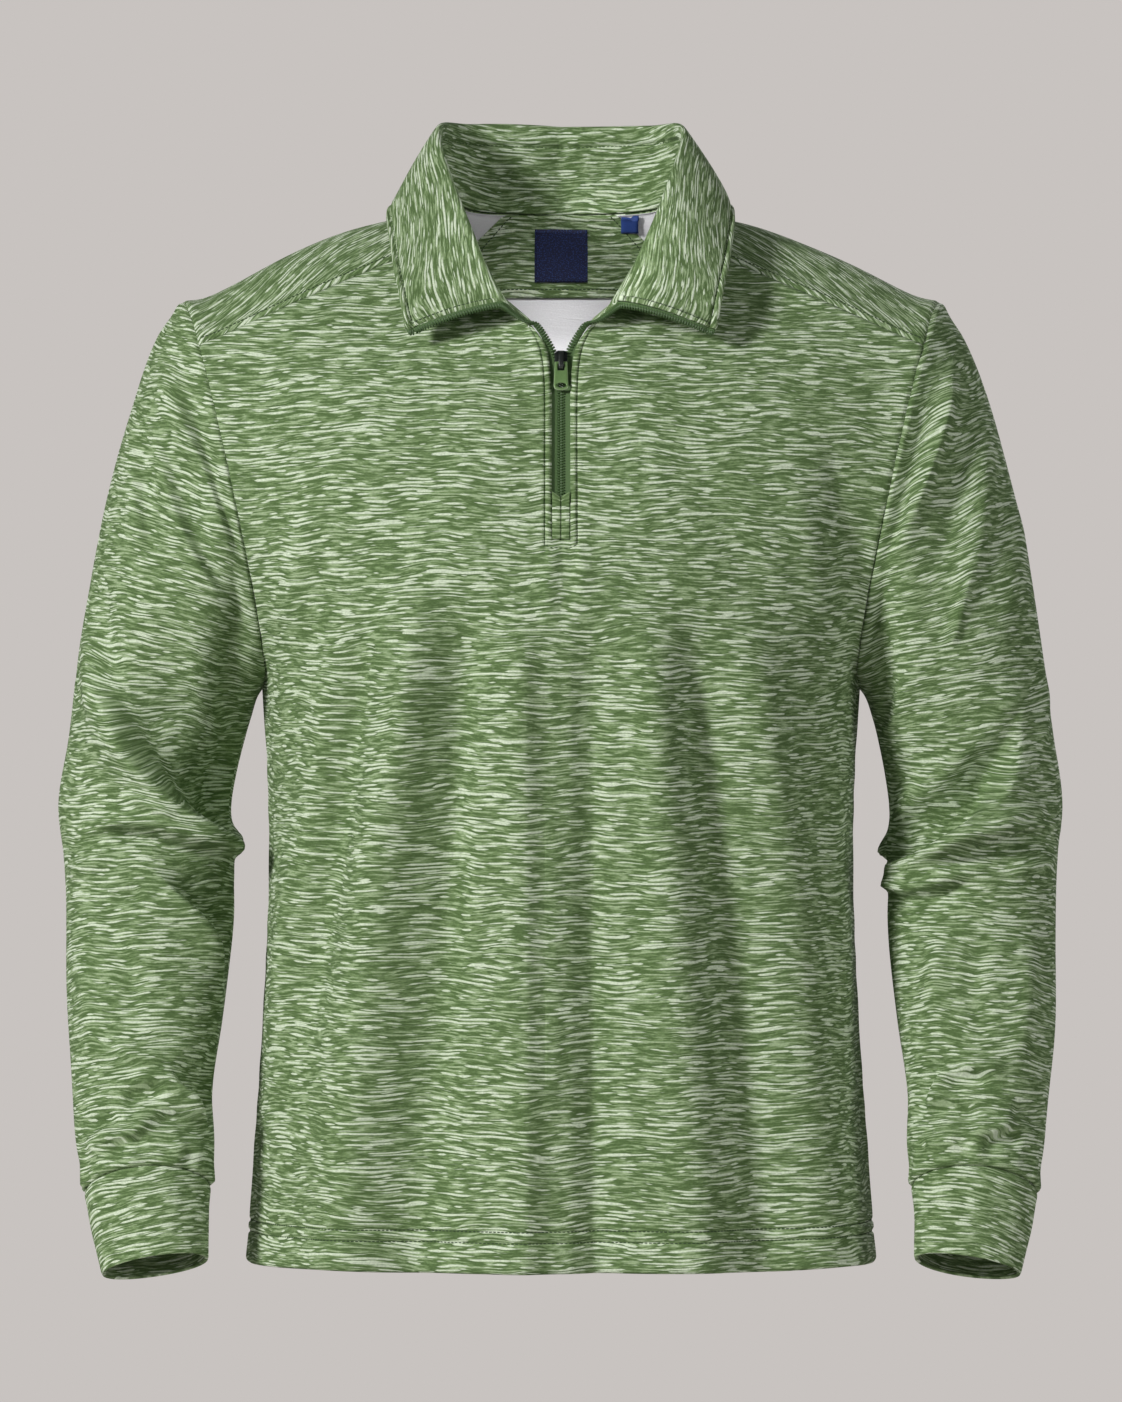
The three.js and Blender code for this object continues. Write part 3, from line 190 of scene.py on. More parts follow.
# The finer creases: (height, breadth on one side, breadth on the other, path in x and z). The first side is above a
# path that runs to the right, or to the right of one that runs down. All are seen from the front, also at the back.
creases = {
    "front": [
        (-1.8, 7, 7, [(-104, -262), (-112, -330), (-124, -420)]),
        (1.6, 6, 6, [(-118, -268), (-126, -340), (-140, -420)]),
        (1.4, 8, 8, [(-50, -300), (-54, -420), (-60, -560)]),
        (-1.3, 8, 8, [(42, -300), (46, -420), (52, -560)]),
        (1.3, 7, 7, [(-6, -380), (-4, -520), (-6, -640)]),
        (1.5, 8, 8, [(178, -350), (186, -470), (196, -600)]),
        (1.6, 8, 8, [(-184, -400), (-192, -520), (-198, -660)]),
        (-2.6, 9, 13, [(200, -258), (190, -212), (180, -160)]),
        (2.0, 10, 10, [(-168, -200), (-176, -250), (-186, -300)]),
        (1.6, 10, 12, [(150, -180), (170, -250), (184, -310)]),
        (-1.2, 14, 14, [(-60, -150), (-110, -220), (-140, -290)]),
        (-1.2, 14, 14, [(60, -150), (108, -220), (138, -290)]),
        (1.2, 5, 5, [(-5, -236), (-9, -262), (-8, -296)]),
        (-1.1, 4, 5, [(3, -238), (5, -262), (3, -290)]),
        (1.2, 5, 4, [(9, -234), (14, -252), (16, -270)]),
    ],
    "back": [
        (2.0, 13, 11, [(-100, -180), (-116, -400), (-128, -690)]),
        (2.2, 11, 13, [(94, -190), (112, -420), (124, -690)]),
        (-2.2, 12, 12, [(-40, -260), (-38, -460), (-42, -700)]),
        (-2.0, 12, 12, [(36, -250), (40, -460), (44, -700)]),
        (-2.4, 11, 11, [(-150, -300), (-160, -480), (-176, -690)]),
        (-2.4, 11, 11, [(152, -290), (164, -480), (178, -690)]),
        (2.2, 12, 12, [(-150, -110), (-160, -180), (-176, -260)]),
        (2.0, 12, 12, [(150, -120), (164, -200), (178, -280)]),
        (1.5, 12, 16, [(-90, -60), (-60, -84), (0, -92), (60, -84), (90, -60)]),
        (-1.8, 12, 12, [(-130, -84), (-70, -112), (0, -122), (72, -110), (132, -82)]),
    ],
    "sleeve_right": [
        (2.6, 9, 9, [(-270, -108), (-262, -150), (-250, -190)]),
        (-3.4, 8, 8, [(-244, -140), (-226, -188), (-213, -224), (-206, -262)]),
        (-2.2, 8, 8, [(-259, -150), (-244, -190), (-234, -226)]),
        (-2.6, 8, 8, [(-313, -250), (-308, -294), (-299, -336)]),
        (2.6, 6, 6, [(-320, -290), (-316, -326), (-308, -356)]),
        (3.0, 7, 5, [(-296, -402), (-276, -411), (-262, -420)]),
        (2.6, 6, 6, [(-334, -460), (-320, -451), (-296, -446)]),
        (-2.2, 5, 5, [(-304, -475), (-292, -472), (-280, -470)]),
        (-1.8, 8, 8, [(-312, -480), (-292, -520), (-286, -566)]),
        (2.0, 8, 8, [(-322, -500), (-316, -550), (-308, -590)]),
        (1.8, 4, 5, [(-302, -568), (-284, -578), (-262, -582)]),
        (-3.2, 5, 6, [(-296, -610), (-282, -604), (-264, -602)]),
        (2.4, 5, 5, [(-290, -594), (-270, -592), (-256, -596)]),
        (-3.8, 5, 6, [(-280, -624), (-261, -621), (-248, -623), (-232, -631)]),
        (-3.4, 5, 6, [(-304, -645), (-291, -637), (-274, -635)]),
        (3.0, 5, 5, [(-304, -635), (-287, -628), (-274, -620)]),
        (-3.0, 5, 5, [(-322, -630), (-310, -623), (-296, -618)]),
        (2.4, 4, 5, [(-316, -644), (-310, -634), (-296, -626)]),
        (2.4, 5, 5, [(-262, -640), (-248, -640), (-236, -646)]),
    ],
    "sleeve_left": [
        (3.4, 8, 9, [(264, -110), (249, -170), (226, -236)]),
        (2.4, 8, 8, [(284, -134), (284, -206), (266, -296)]),
        (-4.2, 8, 8, [(246, -130), (230, -182), (215, -226)]),
        (-2.2, 9, 9, [(272, -150), (266, -210), (250, -262)]),
        (1.8, 9, 9, [(306, -200), (306, -250), (298, -300)]),
        (2.2, 4, 5, [(274, -250), (266, -286), (261, -306)]),
        (2.2, 5, 5, [(327, -318), (325, -352), (321, -374)]),
        (2.8, 5, 6, [(238, -390), (231, -410), (224, -422)]),
        (2.4, 5, 5, [(284, -426), (298, -419), (312, -414), (330, -414)]),
        (2.4, 6, 6, [(336, -448), (318, -452), (298, -456)]),
        (2.2, 8, 8, [(256, -490), (250, -530), (256, -566)]),
        (-2.0, 9, 9, [(284, -486), (276, -530), (284, -576)]),
        (2.0, 8, 8, [(314, -490), (312, -546), (304, -590)]),
        (-3.0, 5, 6, [(254, -600), (270, -594), (290, -596)]),
        (2.4, 5, 5, [(262, -586), (280, -584), (300, -588)]),
        (-3.6, 5, 6, [(236, -622), (252, -614), (268, -614), (284, -620)]),
        (-3.4, 5, 6, [(280, -642), (296, -634), (312, -636)]),
        (3.0, 5, 5, [(272, -626), (288, -626), (306, -620)]),
        (-2.6, 5, 5, [(300, -612), (314, -618), (326, -628)]),
        (2.6, 5, 5, [(240, -640), (254, -634), (268, -636)]),
    ],
    "sleeve_right_back": [
        (3.0, 9, 8, [(-262, -116), (-244, -180), (-216, -244)]),
        (-3.0, 8, 8, [(-284, -150), (-268, -214), (-240, -280)]),
        (4.2, 5, 14, [(-318, -356), (-290, -392), (-258, -420), (-228, -438)]),
        (-3.4, 9, 5, [(-314, -342), (-288, -380), (-256, -408), (-227, -425)]),
        (-4.2, 6, 7, [(-330, -436), (-300, -440), (-268, -434), (-236, -444)]),
        (3.0, 7, 7, [(-300, -470), (-268, -496), (-244, -530)]),
        (-2.6, 8, 8, [(-318, -560), (-296, -580), (-262, -586)]),
        (2.6, 7, 7, [(-320, -606), (-296, -622), (-262, -628)]),
    ],
    "sleeve_left_back": [
        (3.0, 8, 9, [(264, -120), (246, -186), (220, -240)]),
        (-2.8, 8, 8, [(286, -156), (272, -220), (246, -286)]),
        (4.2, 14, 5, [(322, -370), (292, -404), (262, -428), (230, -444)]),
        (-3.4, 5, 9, [(316, -356), (288, -392), (258, -416), (229, -431)]),
        (-4.2, 7, 6, [(330, -446), (300, -446), (266, -446), (238, -456)]),
        (2.8, 7, 7, [(300, -486), (274, -510), (250, -540)]),
        (-2.6, 8, 8, [(318, -570), (294, -584), (262, -592)]),
        (2.6, 7, 7, [(318, -612), (294, -624), (262, -632)]),
    ],
}
stepDepth = 2.1  # how high the overlapping folds stand, beside theirs
foldShift = 0.55  # how far the knit bends over a crease, beside its height
# Where a fold overlaps the cloth beside it: as above, but the first side stands up by the height and the other is
# pressed down as far.
steps = {
    "sleeve_right": [
        (-8.5, 34, 24, [(-318, -318), (-302, -339), (-287, -368), (-272, -388), (-257, -405), (-237, -423),
                        (-222, -436), (-190, -460)]),
        (6.0, 14, 11, [(-322, -432), (-300, -427), (-284, -428), (-270, -431), (-257, -436), (-234, -443),
                       (-200, -452)]),
        (-5.0, 14, 12, [(-276, -450), (-257, -469), (-244, -482), (-234, -496), (-229, -514), (-226, -548)]),
        (-2.6, 9, 12, [(-259, -118), (-250, -154), (-236, -188), (-225, -220), (-214, -246), (-203, -268)]),
        (-2.2, 9, 12, [(-276, -136), (-265, -184), (-253, -220), (-236, -256), (-220, -276)]),
        (-1.8, 8, 11, [(-289, -148), (-285, -184), (-283, -218), (-277, -250)]),
        (-4.0, 12, 10, [(-264, -586), (-254, -597), (-246, -604), (-240, -616), (-233, -628)]),
    ],
    "sleeve_left": [
        (8.5, 24, 34, [(309, -350), (301, -378), (294, -394), (284, -411), (272, -423), (260, -433), (248, -440),
                       (230, -447), (190, -462)]),
        (6.0, 13, 10, [(246, -453), (260, -447), (273, -440), (287, -435), (301, -431), (315, -428), (334, -429)]),
        (4.2, 9, 10, [(206, -468), (222, -469), (235, -471), (249, -469), (263, -464), (280, -457)]),
        (2.4, 12, 9, [(262, -112), (250, -160), (234, -208), (214, -256)]),
        (3.6, 11, 10, [(262, -580), (252, -592), (246, -606), (240, -622)]),
    ],
    "sleeve_right_back": [
        (6.0, 14, 26, [(-322, -352), (-296, -388), (-262, -418), (-226, -440), (-196, -452)]),
        (-4.5, 12, 12, [(-334, -430), (-304, -436), (-270, -432), (-232, -446)]),
    ],
    "sleeve_left_back": [
        (-6.0, 26, 14, [(324, -362), (298, -398), (264, -426), (228, -446), (198, -458)]),
        (4.5, 12, 12, [(232, -456), (268, -444), (302, -442), (332, -440)]),
    ],
}


def halfRing(z, isFront):
    section = readTable(bodySections, "z", z)
    turn = np.linspace(0, np.pi, 193)
    power = 2 / bodySquareness
    across = np.cos(turn)
    x = -section["halfWidth"] * np.sign(across) * np.abs(across) ** power
    depth = -section["front"] if isFront else section["back"]
    y = depth * np.abs(np.sin(turn)) ** power
    length = np.concatenate([[0], np.cumsum(np.hypot(np.diff(x), np.diff(y)))])

    def at(share):
        wanted = np.clip(share, 0, 1) * length[-1]
        xAt, yAt = np.interp(wanted, length, x), np.interp(wanted, length, y)
        return np.stack([xAt, yAt, np.full_like(wanted, z)], -1)
    return at, length[-1]


def armholePoint(angle):
    turn = np.radians(np.asarray(angle, float))
    up = (shoulderTip - underarm) / 2
    points = underarm + up + up * np.cos(turn)[..., None]
    points[..., 0] -= 10 * np.abs(np.sin(turn)) ** 0.8
    points[..., 1] -= armholeHalfDepth * np.sin(turn)
    return points


def shoulderSeamPoint(share):
    rise = 3 * np.sin(np.pi * share)[..., None]
    start = armholePoint(seamAngle)
    return start + (seamNeckEnd - start) * share[..., None] + rise * np.array([0, -1, 0.5])


def fillPanel(bottom, top, across, rowPlaces, lines):
    # a panel between its bottom and top edges that passes through the given lines
    last = across[-1]
    panel = []
    for v in rowPlaces:
        straight = bottom + (top - bottom) * v
        pulls = []
        for column, line in lines:
            i = int(np.argmin(np.abs(across - column)))
            gap = (line(1.0) - top[i]) * v**12
            pulls.append((column / last, *(line(v) - gap - straight[i])))
        pulls = table("at x y z", pulls)
        panel.append(straight + readPoint(pulls, across / last))
    return np.array(panel)


def relax(grid, rounds, fixedColumns):
    for _ in range(rounds):
        mean = (grid[:-2, 1:-1] + grid[2:, 1:-1] + grid[1:-1, :-2] + grid[1:-1, 2:]) / 4
        moved = (mean - grid[1:-1, 1:-1]) * 0.5
        for i in fixedColumns:
            moved[:, i - 1] = 0
        grid[1:-1, 1:-1] += moved


def gridNormals(grid, isClosed=False):
    if isClosed:
        wide = np.concatenate([grid[:, -2:-1], grid, grid[:, 1:2]], 1)
        du = wide[:, 2:] - wide[:, :-2]
    else:
        du = np.gradient(grid, axis=1)
    dv = np.gradient(grid, axis=0)
    return unit(np.cross(du, dv))


def drapeLift(drapes, points):
    lift = np.zeros(points.shape[:2])
    for height, atTop, atHem, path in drapes:
        rows = table("at x", [(-z, x) for x, z in path])
        down = -points[..., 2]
        top, end = rows["at"][0], rows["at"][-1]
        away = points[..., 0] - readTable(rows, "at", down)["x"]
        breadth = atTop + (atHem - atTop) * np.clip((down - top) / (end - top), 0, 1)
        low = 1 if end > 700 else 1 - smooth(down, end - 70, end + 60)
        lift += height * smooth(down, top - 15, top + 75) * low * np.exp(-((away / breadth) ** 2))
    return lift


def alongPath(x, z, path, reach):
    # for the points near a path: which they are, how far away on either side, and how far along
    rows = table("at x z", [(k, *p) for k, p in enumerate(path)])
    line = readTable(rows, "at", np.linspace(0, len(path) - 1, 4 * len(path)))
    near = ((x > line["x"].min() - reach) & (x < line["x"].max() + reach)
            & (z > line["z"].min() - reach) & (z < line["z"].max() + reach))
    px, pz = x[near], z[near]
    best, away, share = np.full(px.shape, 1e9), np.zeros(px.shape), np.zeros(px.shape)
    count = len(line["x"]) - 1
    for k in range(count):
        ax, az = line["x"][k], line["z"][k]
        bx, bz = line["x"][k + 1] - ax, line["z"][k + 1] - az
        t = np.clip(((px - ax) * bx + (pz - az) * bz) / (bx * bx + bz * bz), 0, 1)
        dx, dz = px - ax - t * bx, pz - az - t * bz
        far = dx * dx + dz * dz
        closer = far < best
        best = np.where(closer, far, best)
        away = np.where(closer, np.sign(bx * dz - bz * dx) * np.sqrt(far), away)
        share = np.where(closer, (k + t) / count, share)
    ends = smooth(share, 0, 0.3) * (1 - smooth(share, 0.7, 1)) * 0.9 + 0.1
    return near, away, np.where((share <= 0) | (share >= 1), 0.1 * np.exp(-best / 30), ends)


def creaseLift(name, points):
    # the drawn creases of a piece, dying away at their ends
    x, z = points[..., 0], points[..., 2]
    lift = np.zeros(x.shape)
    for height, first, other, path in creases[name]:
        near, away, ends = alongPath(x, z, path, 2.5 * max(first, other))
        breadth = np.where(away > 0, first, other)
        lift[near] += height * creaseDepth * ends * np.exp(-((away / breadth) ** 2))
    return lift


def stepLift(name, points):
    # the overlapping folds: a sharp edge, and beside it cloth that sinks away on the side turned from the light
    x, z = points[..., 0], points[..., 2]
    lift = np.zeros(x.shape)
    for height, first, other, path in steps.get(name, ()):
        near, away, ends = alongPath(x, z, path, 3.2 * max(first, other))
        share = away / np.where(away > 0, first, other)
        form = np.tanh(away / 2) * np.exp(-(share**2))
        if height < 0:
            form = np.where(away > 0, 0.55 * form + 0.7 * share * np.exp(0.5 - 0.5 * share**2), form)
        lift[near] += stepDepth * height * ends * form
    return lift


def unevenness(points, seed, size, height):
    # a low, soft waviness that no made cloth is without
    random = np.random.default_rng(seed)
    lift = np.zeros(points.shape[:2])
    for _ in range(9):
        axis = unit(random.normal(size=3)) / (size * random.uniform(0.6, 1.6))
        lift += np.sin(2 * np.pi * (points @ axis) + random.uniform(0, 6.3))
    return lift * height / 3


def seamPuff(away, height=1.5):
    # how cloth rises beside a seam that holds it down
    return height * (1 - np.exp(-((away / 1.8) ** 2))) * np.exp(-((away / 10) ** 2))


def edgeDistances(grid):
    # how far each point is from the first and last column and the first and last row, along the cloth
    across = np.linalg.norm(np.diff(grid, axis=1), axis=-1).cumsum(1)
    along = np.linalg.norm(np.diff(grid, axis=0), axis=-1).cumsum(0)
    left = np.concatenate([np.zeros((len(grid), 1)), across], 1)
    low = np.concatenate([np.zeros((1, grid.shape[1])), along], 0)
    return left, left[:, -1:] - left, low, low[-1:] - low


def insertPlaces(sheet, rows=(), columns=()):
    # adds rows and columns at the given places, on straight lines between those that are there
    for axis, key, wanted in ((0, "rows", rows), (1, "columns", columns)):
        at = sheet[key]
        wanted = np.array([w for w in wanted if at[0] < w < at[-1] and np.min(np.abs(at - w)) > 0.004])
        if not len(wanted):
            continue
        made = np.sort(np.concatenate([at, wanted]))
        sheet["grid"] = resample(sheet["grid"], at, made, axis)
        sheet[key] = made


def resample(grid, at, made, axis):
    i = np.clip(np.searchsorted(at, made, side="right") - 1, 0, len(at) - 2)
    t = ((made - at[i]) / (at[i + 1] - at[i])).reshape([-1 if k == axis else 1 for k in range(3)])
    return np.take(grid, i, axis) * (1 - t) + np.take(grid, i + 1, axis) * t


def flatten(grid, rounds=700):
    # lays a grid of points flat with the lengths of its edges and diagonals kept as far as they can be
    middle = grid.shape[1] // 2
    left = edgeDistances(grid)[0]
    along = edgeDistances(grid)[2]
    flat = np.stack([left - left[:, middle:middle + 1], np.repeat(along[:, middle:middle + 1], grid.shape[1], 1)], -1)
    pairs = [((0, 0), (0, 1)), ((0, 0), (1, 0)), ((0, 0), (1, 1)), ((0, 1), (1, 0))]

    def part(a, corner, other):
        rows = a.shape[0] - max(corner[0], other[0])
        columns = a.shape[1] - max(corner[1], other[1])
        return a[corner[0]:corner[0] + rows, corner[1]:corner[1] + columns]
    lengths = [np.linalg.norm(part(grid, b, a) - part(grid, a, b), axis=-1) for a, b in pairs]
    for _ in range(rounds):
        moved, count = np.zeros_like(flat), np.zeros(flat.shape[:2])
        for (a, b), length in zip(pairs, lengths):
            gap = part(flat, b, a) - part(flat, a, b)
            now = np.linalg.norm(gap, axis=-1)
            pull = gap * ((now - length) / np.maximum(now, 1e-6) / 2)[..., None]
            part(moved, a, b)[...] += pull
            part(moved, b, a)[...] -= pull
            part(count, a, b)[...] += 1
            part(count, b, a)[...] += 1
        flat += moved / count[..., None] * 1.6
    return flat


def spreadFlat(flat, coarseRows, coarseColumns, rows, columns):
    # the flat places of the fine grid, on smooth lines through the coarse one's
    tall = np.stack([np.stack([readTable({"at": coarseRows, "f": flat[:, i, k]}, "at", rows)["f"]
                               for i in range(flat.shape[1])], 1) for k in (0, 1)], -1)
    return np.stack([np.stack([readTable({"at": coarseColumns, "f": tall[j, :, k]}, "at", columns)["f"]
                               for j in range(len(rows))], 0) for k in (0, 1)], -1)


def layFlat(sheet, coarse, coarseRows, coarseColumns):
    flat = flatten(coarse)
    flat[..., 1] -= flat[..., 1].min()
    quad = np.cross(flat[1:, 1:] - flat[:-1, :-1], flat[1:, :-1] - flat[:-1, 1:])
    sheet["area"] = float(np.abs(quad).sum() / 2) * 1e-6
    spread = flat.reshape(-1, 2)
    sheet["flat"] = tuple((spread.max(0) - spread.min(0)) * 1e-3)
    sheet["uv"] = spreadFlat(flat, coarseRows, coarseColumns, sheet["rows"], sheet["columns"]) * 1e-3


say("tables read")


frontColumns = places((0, 7, 7 * fine), (7, 12, 5 * fine), (12, 13, 4), (13, 18, 5 * fine), (18, 25, 7 * fine))
backColumns = places((0, 26, 26 * fine))
zipBottomRow = 16.0


def neckPoint(at):
    return readPoint(neckEdge, at)


def frontShares(ringLength, across):
    zipShare = 0.5 - zipHalfGap / ringLength
    column = np.minimum(across, 25 - across)
    half = np.interp(column, [0, 7, 12, 12.5], [0, neckGuide, zipShare, 0.5])
    return np.where(across <= 12.5, half, 1 - half)


def makeFront():
    across, lower, upper = frontColumns, places((0, 12, 12 * fine)), places((0, 10, 10 * fine))
    grid = []
    for row in lower:
        at, length = halfRing(hemHeight + (underarm[2] - hemHeight) * row / 12, True)
        grid.append(at(frontShares(length, across)))
    bottom = grid[-1]
    column = np.minimum(across, 25 - across)
    edge = np.where((column <= 7)[:, None], shoulderSeamPoint(np.minimum(column / 7, 1)),
                    neckPoint(neckSeamShare * (1 - (column - 7) / 5)))
    top = np.where((across > 12.5)[:, None], edge, mirrored(edge))
    inside = (across > 12) & (across < 13)
    top[inside, 0] = np.interp(across[inside], [12, 13], [-20, 20])

    def armhole(v):
        return armholePoint(180 + (seamAngle - 180) * v)

    def neck(v):
        return readPoint(frontNeckLine, v)

    def zipSide(v):
        return readPoint(frontZipLine, v)
    lines = [(0, lambda v: mirrored(armhole(v))), (7, lambda v: mirrored(neck(v))),
             (12, lambda v: mirrored(zipSide(v))), (13, zipSide), (18, neck), (25, armhole)]
    panel = fillPanel(bottom, top, across, upper / 10, lines)
    grid = np.concatenate([np.array(grid), panel[1:]])
    half = int(np.argmin(np.abs(across - 12)))
    relax(grid, 3 * fine * fine, range(half, half + 5))
    return {"grid": grid, "rows": np.concatenate([lower, 12 + upper[1:]]), "columns": across}


def makeBack():
    across, lower, upper = backColumns, places((0, 12, 12 * fine)), places((0, 14, 14 * fine))
    shares = np.interp(across, [0, 7, 19, 26], [0, neckGuide, 1 - neckGuide, 1])
    grid = []
    for row in lower:
        at, _ = halfRing(hemHeight + (underarm[2] - hemHeight) * row / 12, False)
        grid.append(at(1 - shares))
    bottom = grid[-1]
    column = np.minimum(across, 26 - across)
    roundNeck = neckSeamShare + (1 - neckSeamShare) * (column - 7) / 6
    edge = np.where((column <= 7)[:, None], shoulderSeamPoint(np.minimum(column / 7, 1)), neckPoint(roundNeck))
    top = np.where((across <= 13)[:, None], edge, mirrored(edge))

    def armhole(v):
        return armholePoint(-180 + (seamAngle + 180) * v)

    def neck(v):
        return readPoint(backNeckLine, v)

    def side(v):
        return readPoint(backSideLine, v)
    lines = [(0, armhole), (7, neck), (9, side), (13, lambda v: readPoint(backCentreLine, v)),
             (17, lambda v: mirrored(side(v))), (19, lambda v: mirrored(neck(v))),
             (26, lambda v: mirrored(armhole(v)))]
    panel = fillPanel(bottom, top, across, upper / 14, lines)
    grid = np.concatenate([np.array(grid), panel[1:]])
    relax(grid, 3 * fine * fine, ())
    return {"grid": grid, "rows": np.concatenate([lower, 12 + upper[1:]]), "columns": across}


def finishPanel(sheet, name, drapes, seed):
    # the coarse form laid flat, then the drapes, the creases and the rise beside each seam
    grid, columns, rows = sheet["grid"], sheet["columns"], sheet["rows"]
    last = columns[-1]
    isFront = name == "front"
    coarseColumns = np.arange(0, last + 1)
    coarseRows = np.arange(0, rows[-1] + 1)
    pickRows = [int(np.argmin(np.abs(rows - r))) for r in coarseRows]
    pickColumns = [int(np.argmin(np.abs(columns - c))) for c in coarseColumns]
    coarse = grid[np.ix_(pickRows, pickColumns)]
    fromEdge = np.minimum(columns, last - columns)
    clear = smooth(fromEdge, 0, 2.5)
    if isFront:
        nearZip = np.clip(1.5 - np.abs(columns - 12.5), 0, 1)
        clear = clear * (1 - 0.7 * nearZip)
    grid += gridNormals(grid) * (drapeLift(drapes, grid) * clear)[..., None]
    hemPlaces = [(h + d) / hemStitch["cell"] for h in hemStitch["rows"] for d in (-2.2, -1, 0, 1, 2.2)]
    beside = [0.04, 0.09, last - 0.04, last - 0.09]
    if isFront:
        beside += [c + d for c in placketColumns for d in (-0.08, -0.04, 0, 0.04, 0.08)]
        hemPlaces += [placketEnd + d for d in (-0.06, -0.03, 0, 0.03, 0.06)]
    insertPlaces(sheet, rows=[0.03, 0.08, *hemPlaces, rows[-1] - 0.04, rows[-1] - 0.09], columns=beside)
    grid, columns, rows = sheet["grid"], sheet["columns"], sheet["rows"]
    left, right, low, high = edgeDistances(grid)
    normals = gridNormals(grid)
    facing = smooth(normals[..., 1] * (-1 if isFront else 1), -0.15, 0.35)
    lift = creaseLift(name, grid) * facing
    fade = smooth(np.minimum(left, right), 0, 14)
    if isFront:
        fade = fade * (1 - 0.75 * np.clip(1.6 - np.abs(columns - 12.5), 0, 1) * smooth(rows, 15.2, 16.2)[:, None])
    lift = (lift + unevenness(grid, seed, 150, 0.7) + unevenness(grid, seed + 1, 60, 0.22)) * fade
    lift *= smooth(high, 0, 12) * 0.9 + 0.1
    lift += seamPuff(left) + seamPuff(right) + seamPuff(high) * np.where(high < 60, 1, 0)
    wave = np.sin(low / 5.2 + 1.4 * np.sin(low / 17))
    lift += 0.22 * wave * (np.exp(-((left - 5) / 5) ** 2) + np.exp(-((right - 5) / 5) ** 2))
    for at in hemStitch["rows"]:
        lift -= hemStitch["groove"] * np.exp(-((low - at) / 1.3) ** 2)
    lift += 0.5 * smooth(low, 30.5, 28.6) * smooth(low, 0, 1.6)  # the hem is two layers thick
    lift -= 0.9 * np.exp(-((low / 1.1) ** 2))  # and rolls in at its fold
    if isFront:
        inner = np.abs(columns - 12.5)
        tall = smooth(rows, placketEnd - 0.1, placketEnd + 0.1)[:, None]
        rise = smooth(inner, placketHalf, 0.72) * smooth(inner, 0.5, 0.58)
        rise += 0.5 * smooth(inner, placketHalf, 0.86) * smooth(inner, 1.6, 1.0)
        lift += 0.7 * rise * tall
        lift -= 1.3 * np.exp(-(((inner - placketHalf) / 0.04) ** 2)) * tall
        across = smooth(inner, 0.8, 0.72)
        lift -= 1.2 * np.exp(-(((rows[:, None] - placketEnd) / 0.035) ** 2)) * across
        pucker = np.sin(columns * 17) * np.exp(-((inner / 1.4) ** 2))
        lift += 0.5 * pucker * np.exp(-(((rows[:, None] - placketEnd + 0.3) / 0.25) ** 2))
    sheet["grid"] = grid + normals * lift[..., None]
    sheet["normals"] = gridNormals(sheet["grid"])
    layFlat(sheet, coarse, coarseRows, coarseColumns)
    sheet["uv"] = sheet["uv"] + (lift * facing)[..., None] * [0, foldShift * 0.5e-3]
    return sheet


hemStitch = {"rows": (20.5, 28), "groove": 1.5, "cell": 32.9}  # its stitches' heights, and the height of a cell there
placketHalf = 0.78  # half the placket's breadth, in columns
placketColumns = (12.5 - placketHalf, 12.5 + placketHalf)
placketEnd = zipBottomRow - 0.22
front = finishPanel(makeFront(), "front", frontDrapes, 11)
back = finishPanel(makeBack(), "back", backDrapes, 23)
say("body shaped")


def sectionPoint(section, angle):
    outer = np.stack([section["outerX"], section["y"], section["outerZ"]], -1)
    inner = np.stack([section["innerX"], section["y"], section["innerZ"]], -1)
    across = (outer - inner) / 2
    lean = np.radians(section["lean"])
    forward = np.stack([0 * lean, -np.cos(lean), np.sin(lean)], -1) * section["halfDepth"]
    turn = np.radians(angle)[:, None]
    return inner + across + across * np.cos(turn) + forward * np.sin(turn)


def frontBow(angle):
    return cuffBow * np.maximum(0, np.sin(np.radians(angle))) ** 1.5


def foldLift(folds, along, angle, roundLength):
    lift = np.zeros(angle.shape)
    for start, around, toAlong, toAround, breadth, height in folds:
        alongSpan = (toAlong - start) * sleeveLength
        aroundSpan = (toAround - around) / 360 * roundLength
        length = math.hypot(alongSpan, aroundSpan)
        alongHere = (along - start) * sleeveLength
        aroundHere = (angle - around) / 360 * roundLength
        share = (alongHere * alongSpan + aroundHere * aroundSpan) / length**2
        away = (alongHere * aroundSpan - aroundHere * alongSpan) / length
        ends = smooth(share, -0.12, 0.16) * (1 - smooth(share, 0.84, 1.12))
        lift += height * np.exp(-((away / breadth) ** 2)) * ends
    return lift


alongFine, aroundFine = 10, 6  # steps of the fine cloth of a sleeve in each cell of its solid
# Round the arm from the underarm and back to it.
tubeColumns = places((0, 14, 14 * aroundFine), (14, 24, 10 * aroundFine))
tubeAngles = np.interp(tubeColumns, [0, 14, 24], [180, 360 + seamAngle, 540])


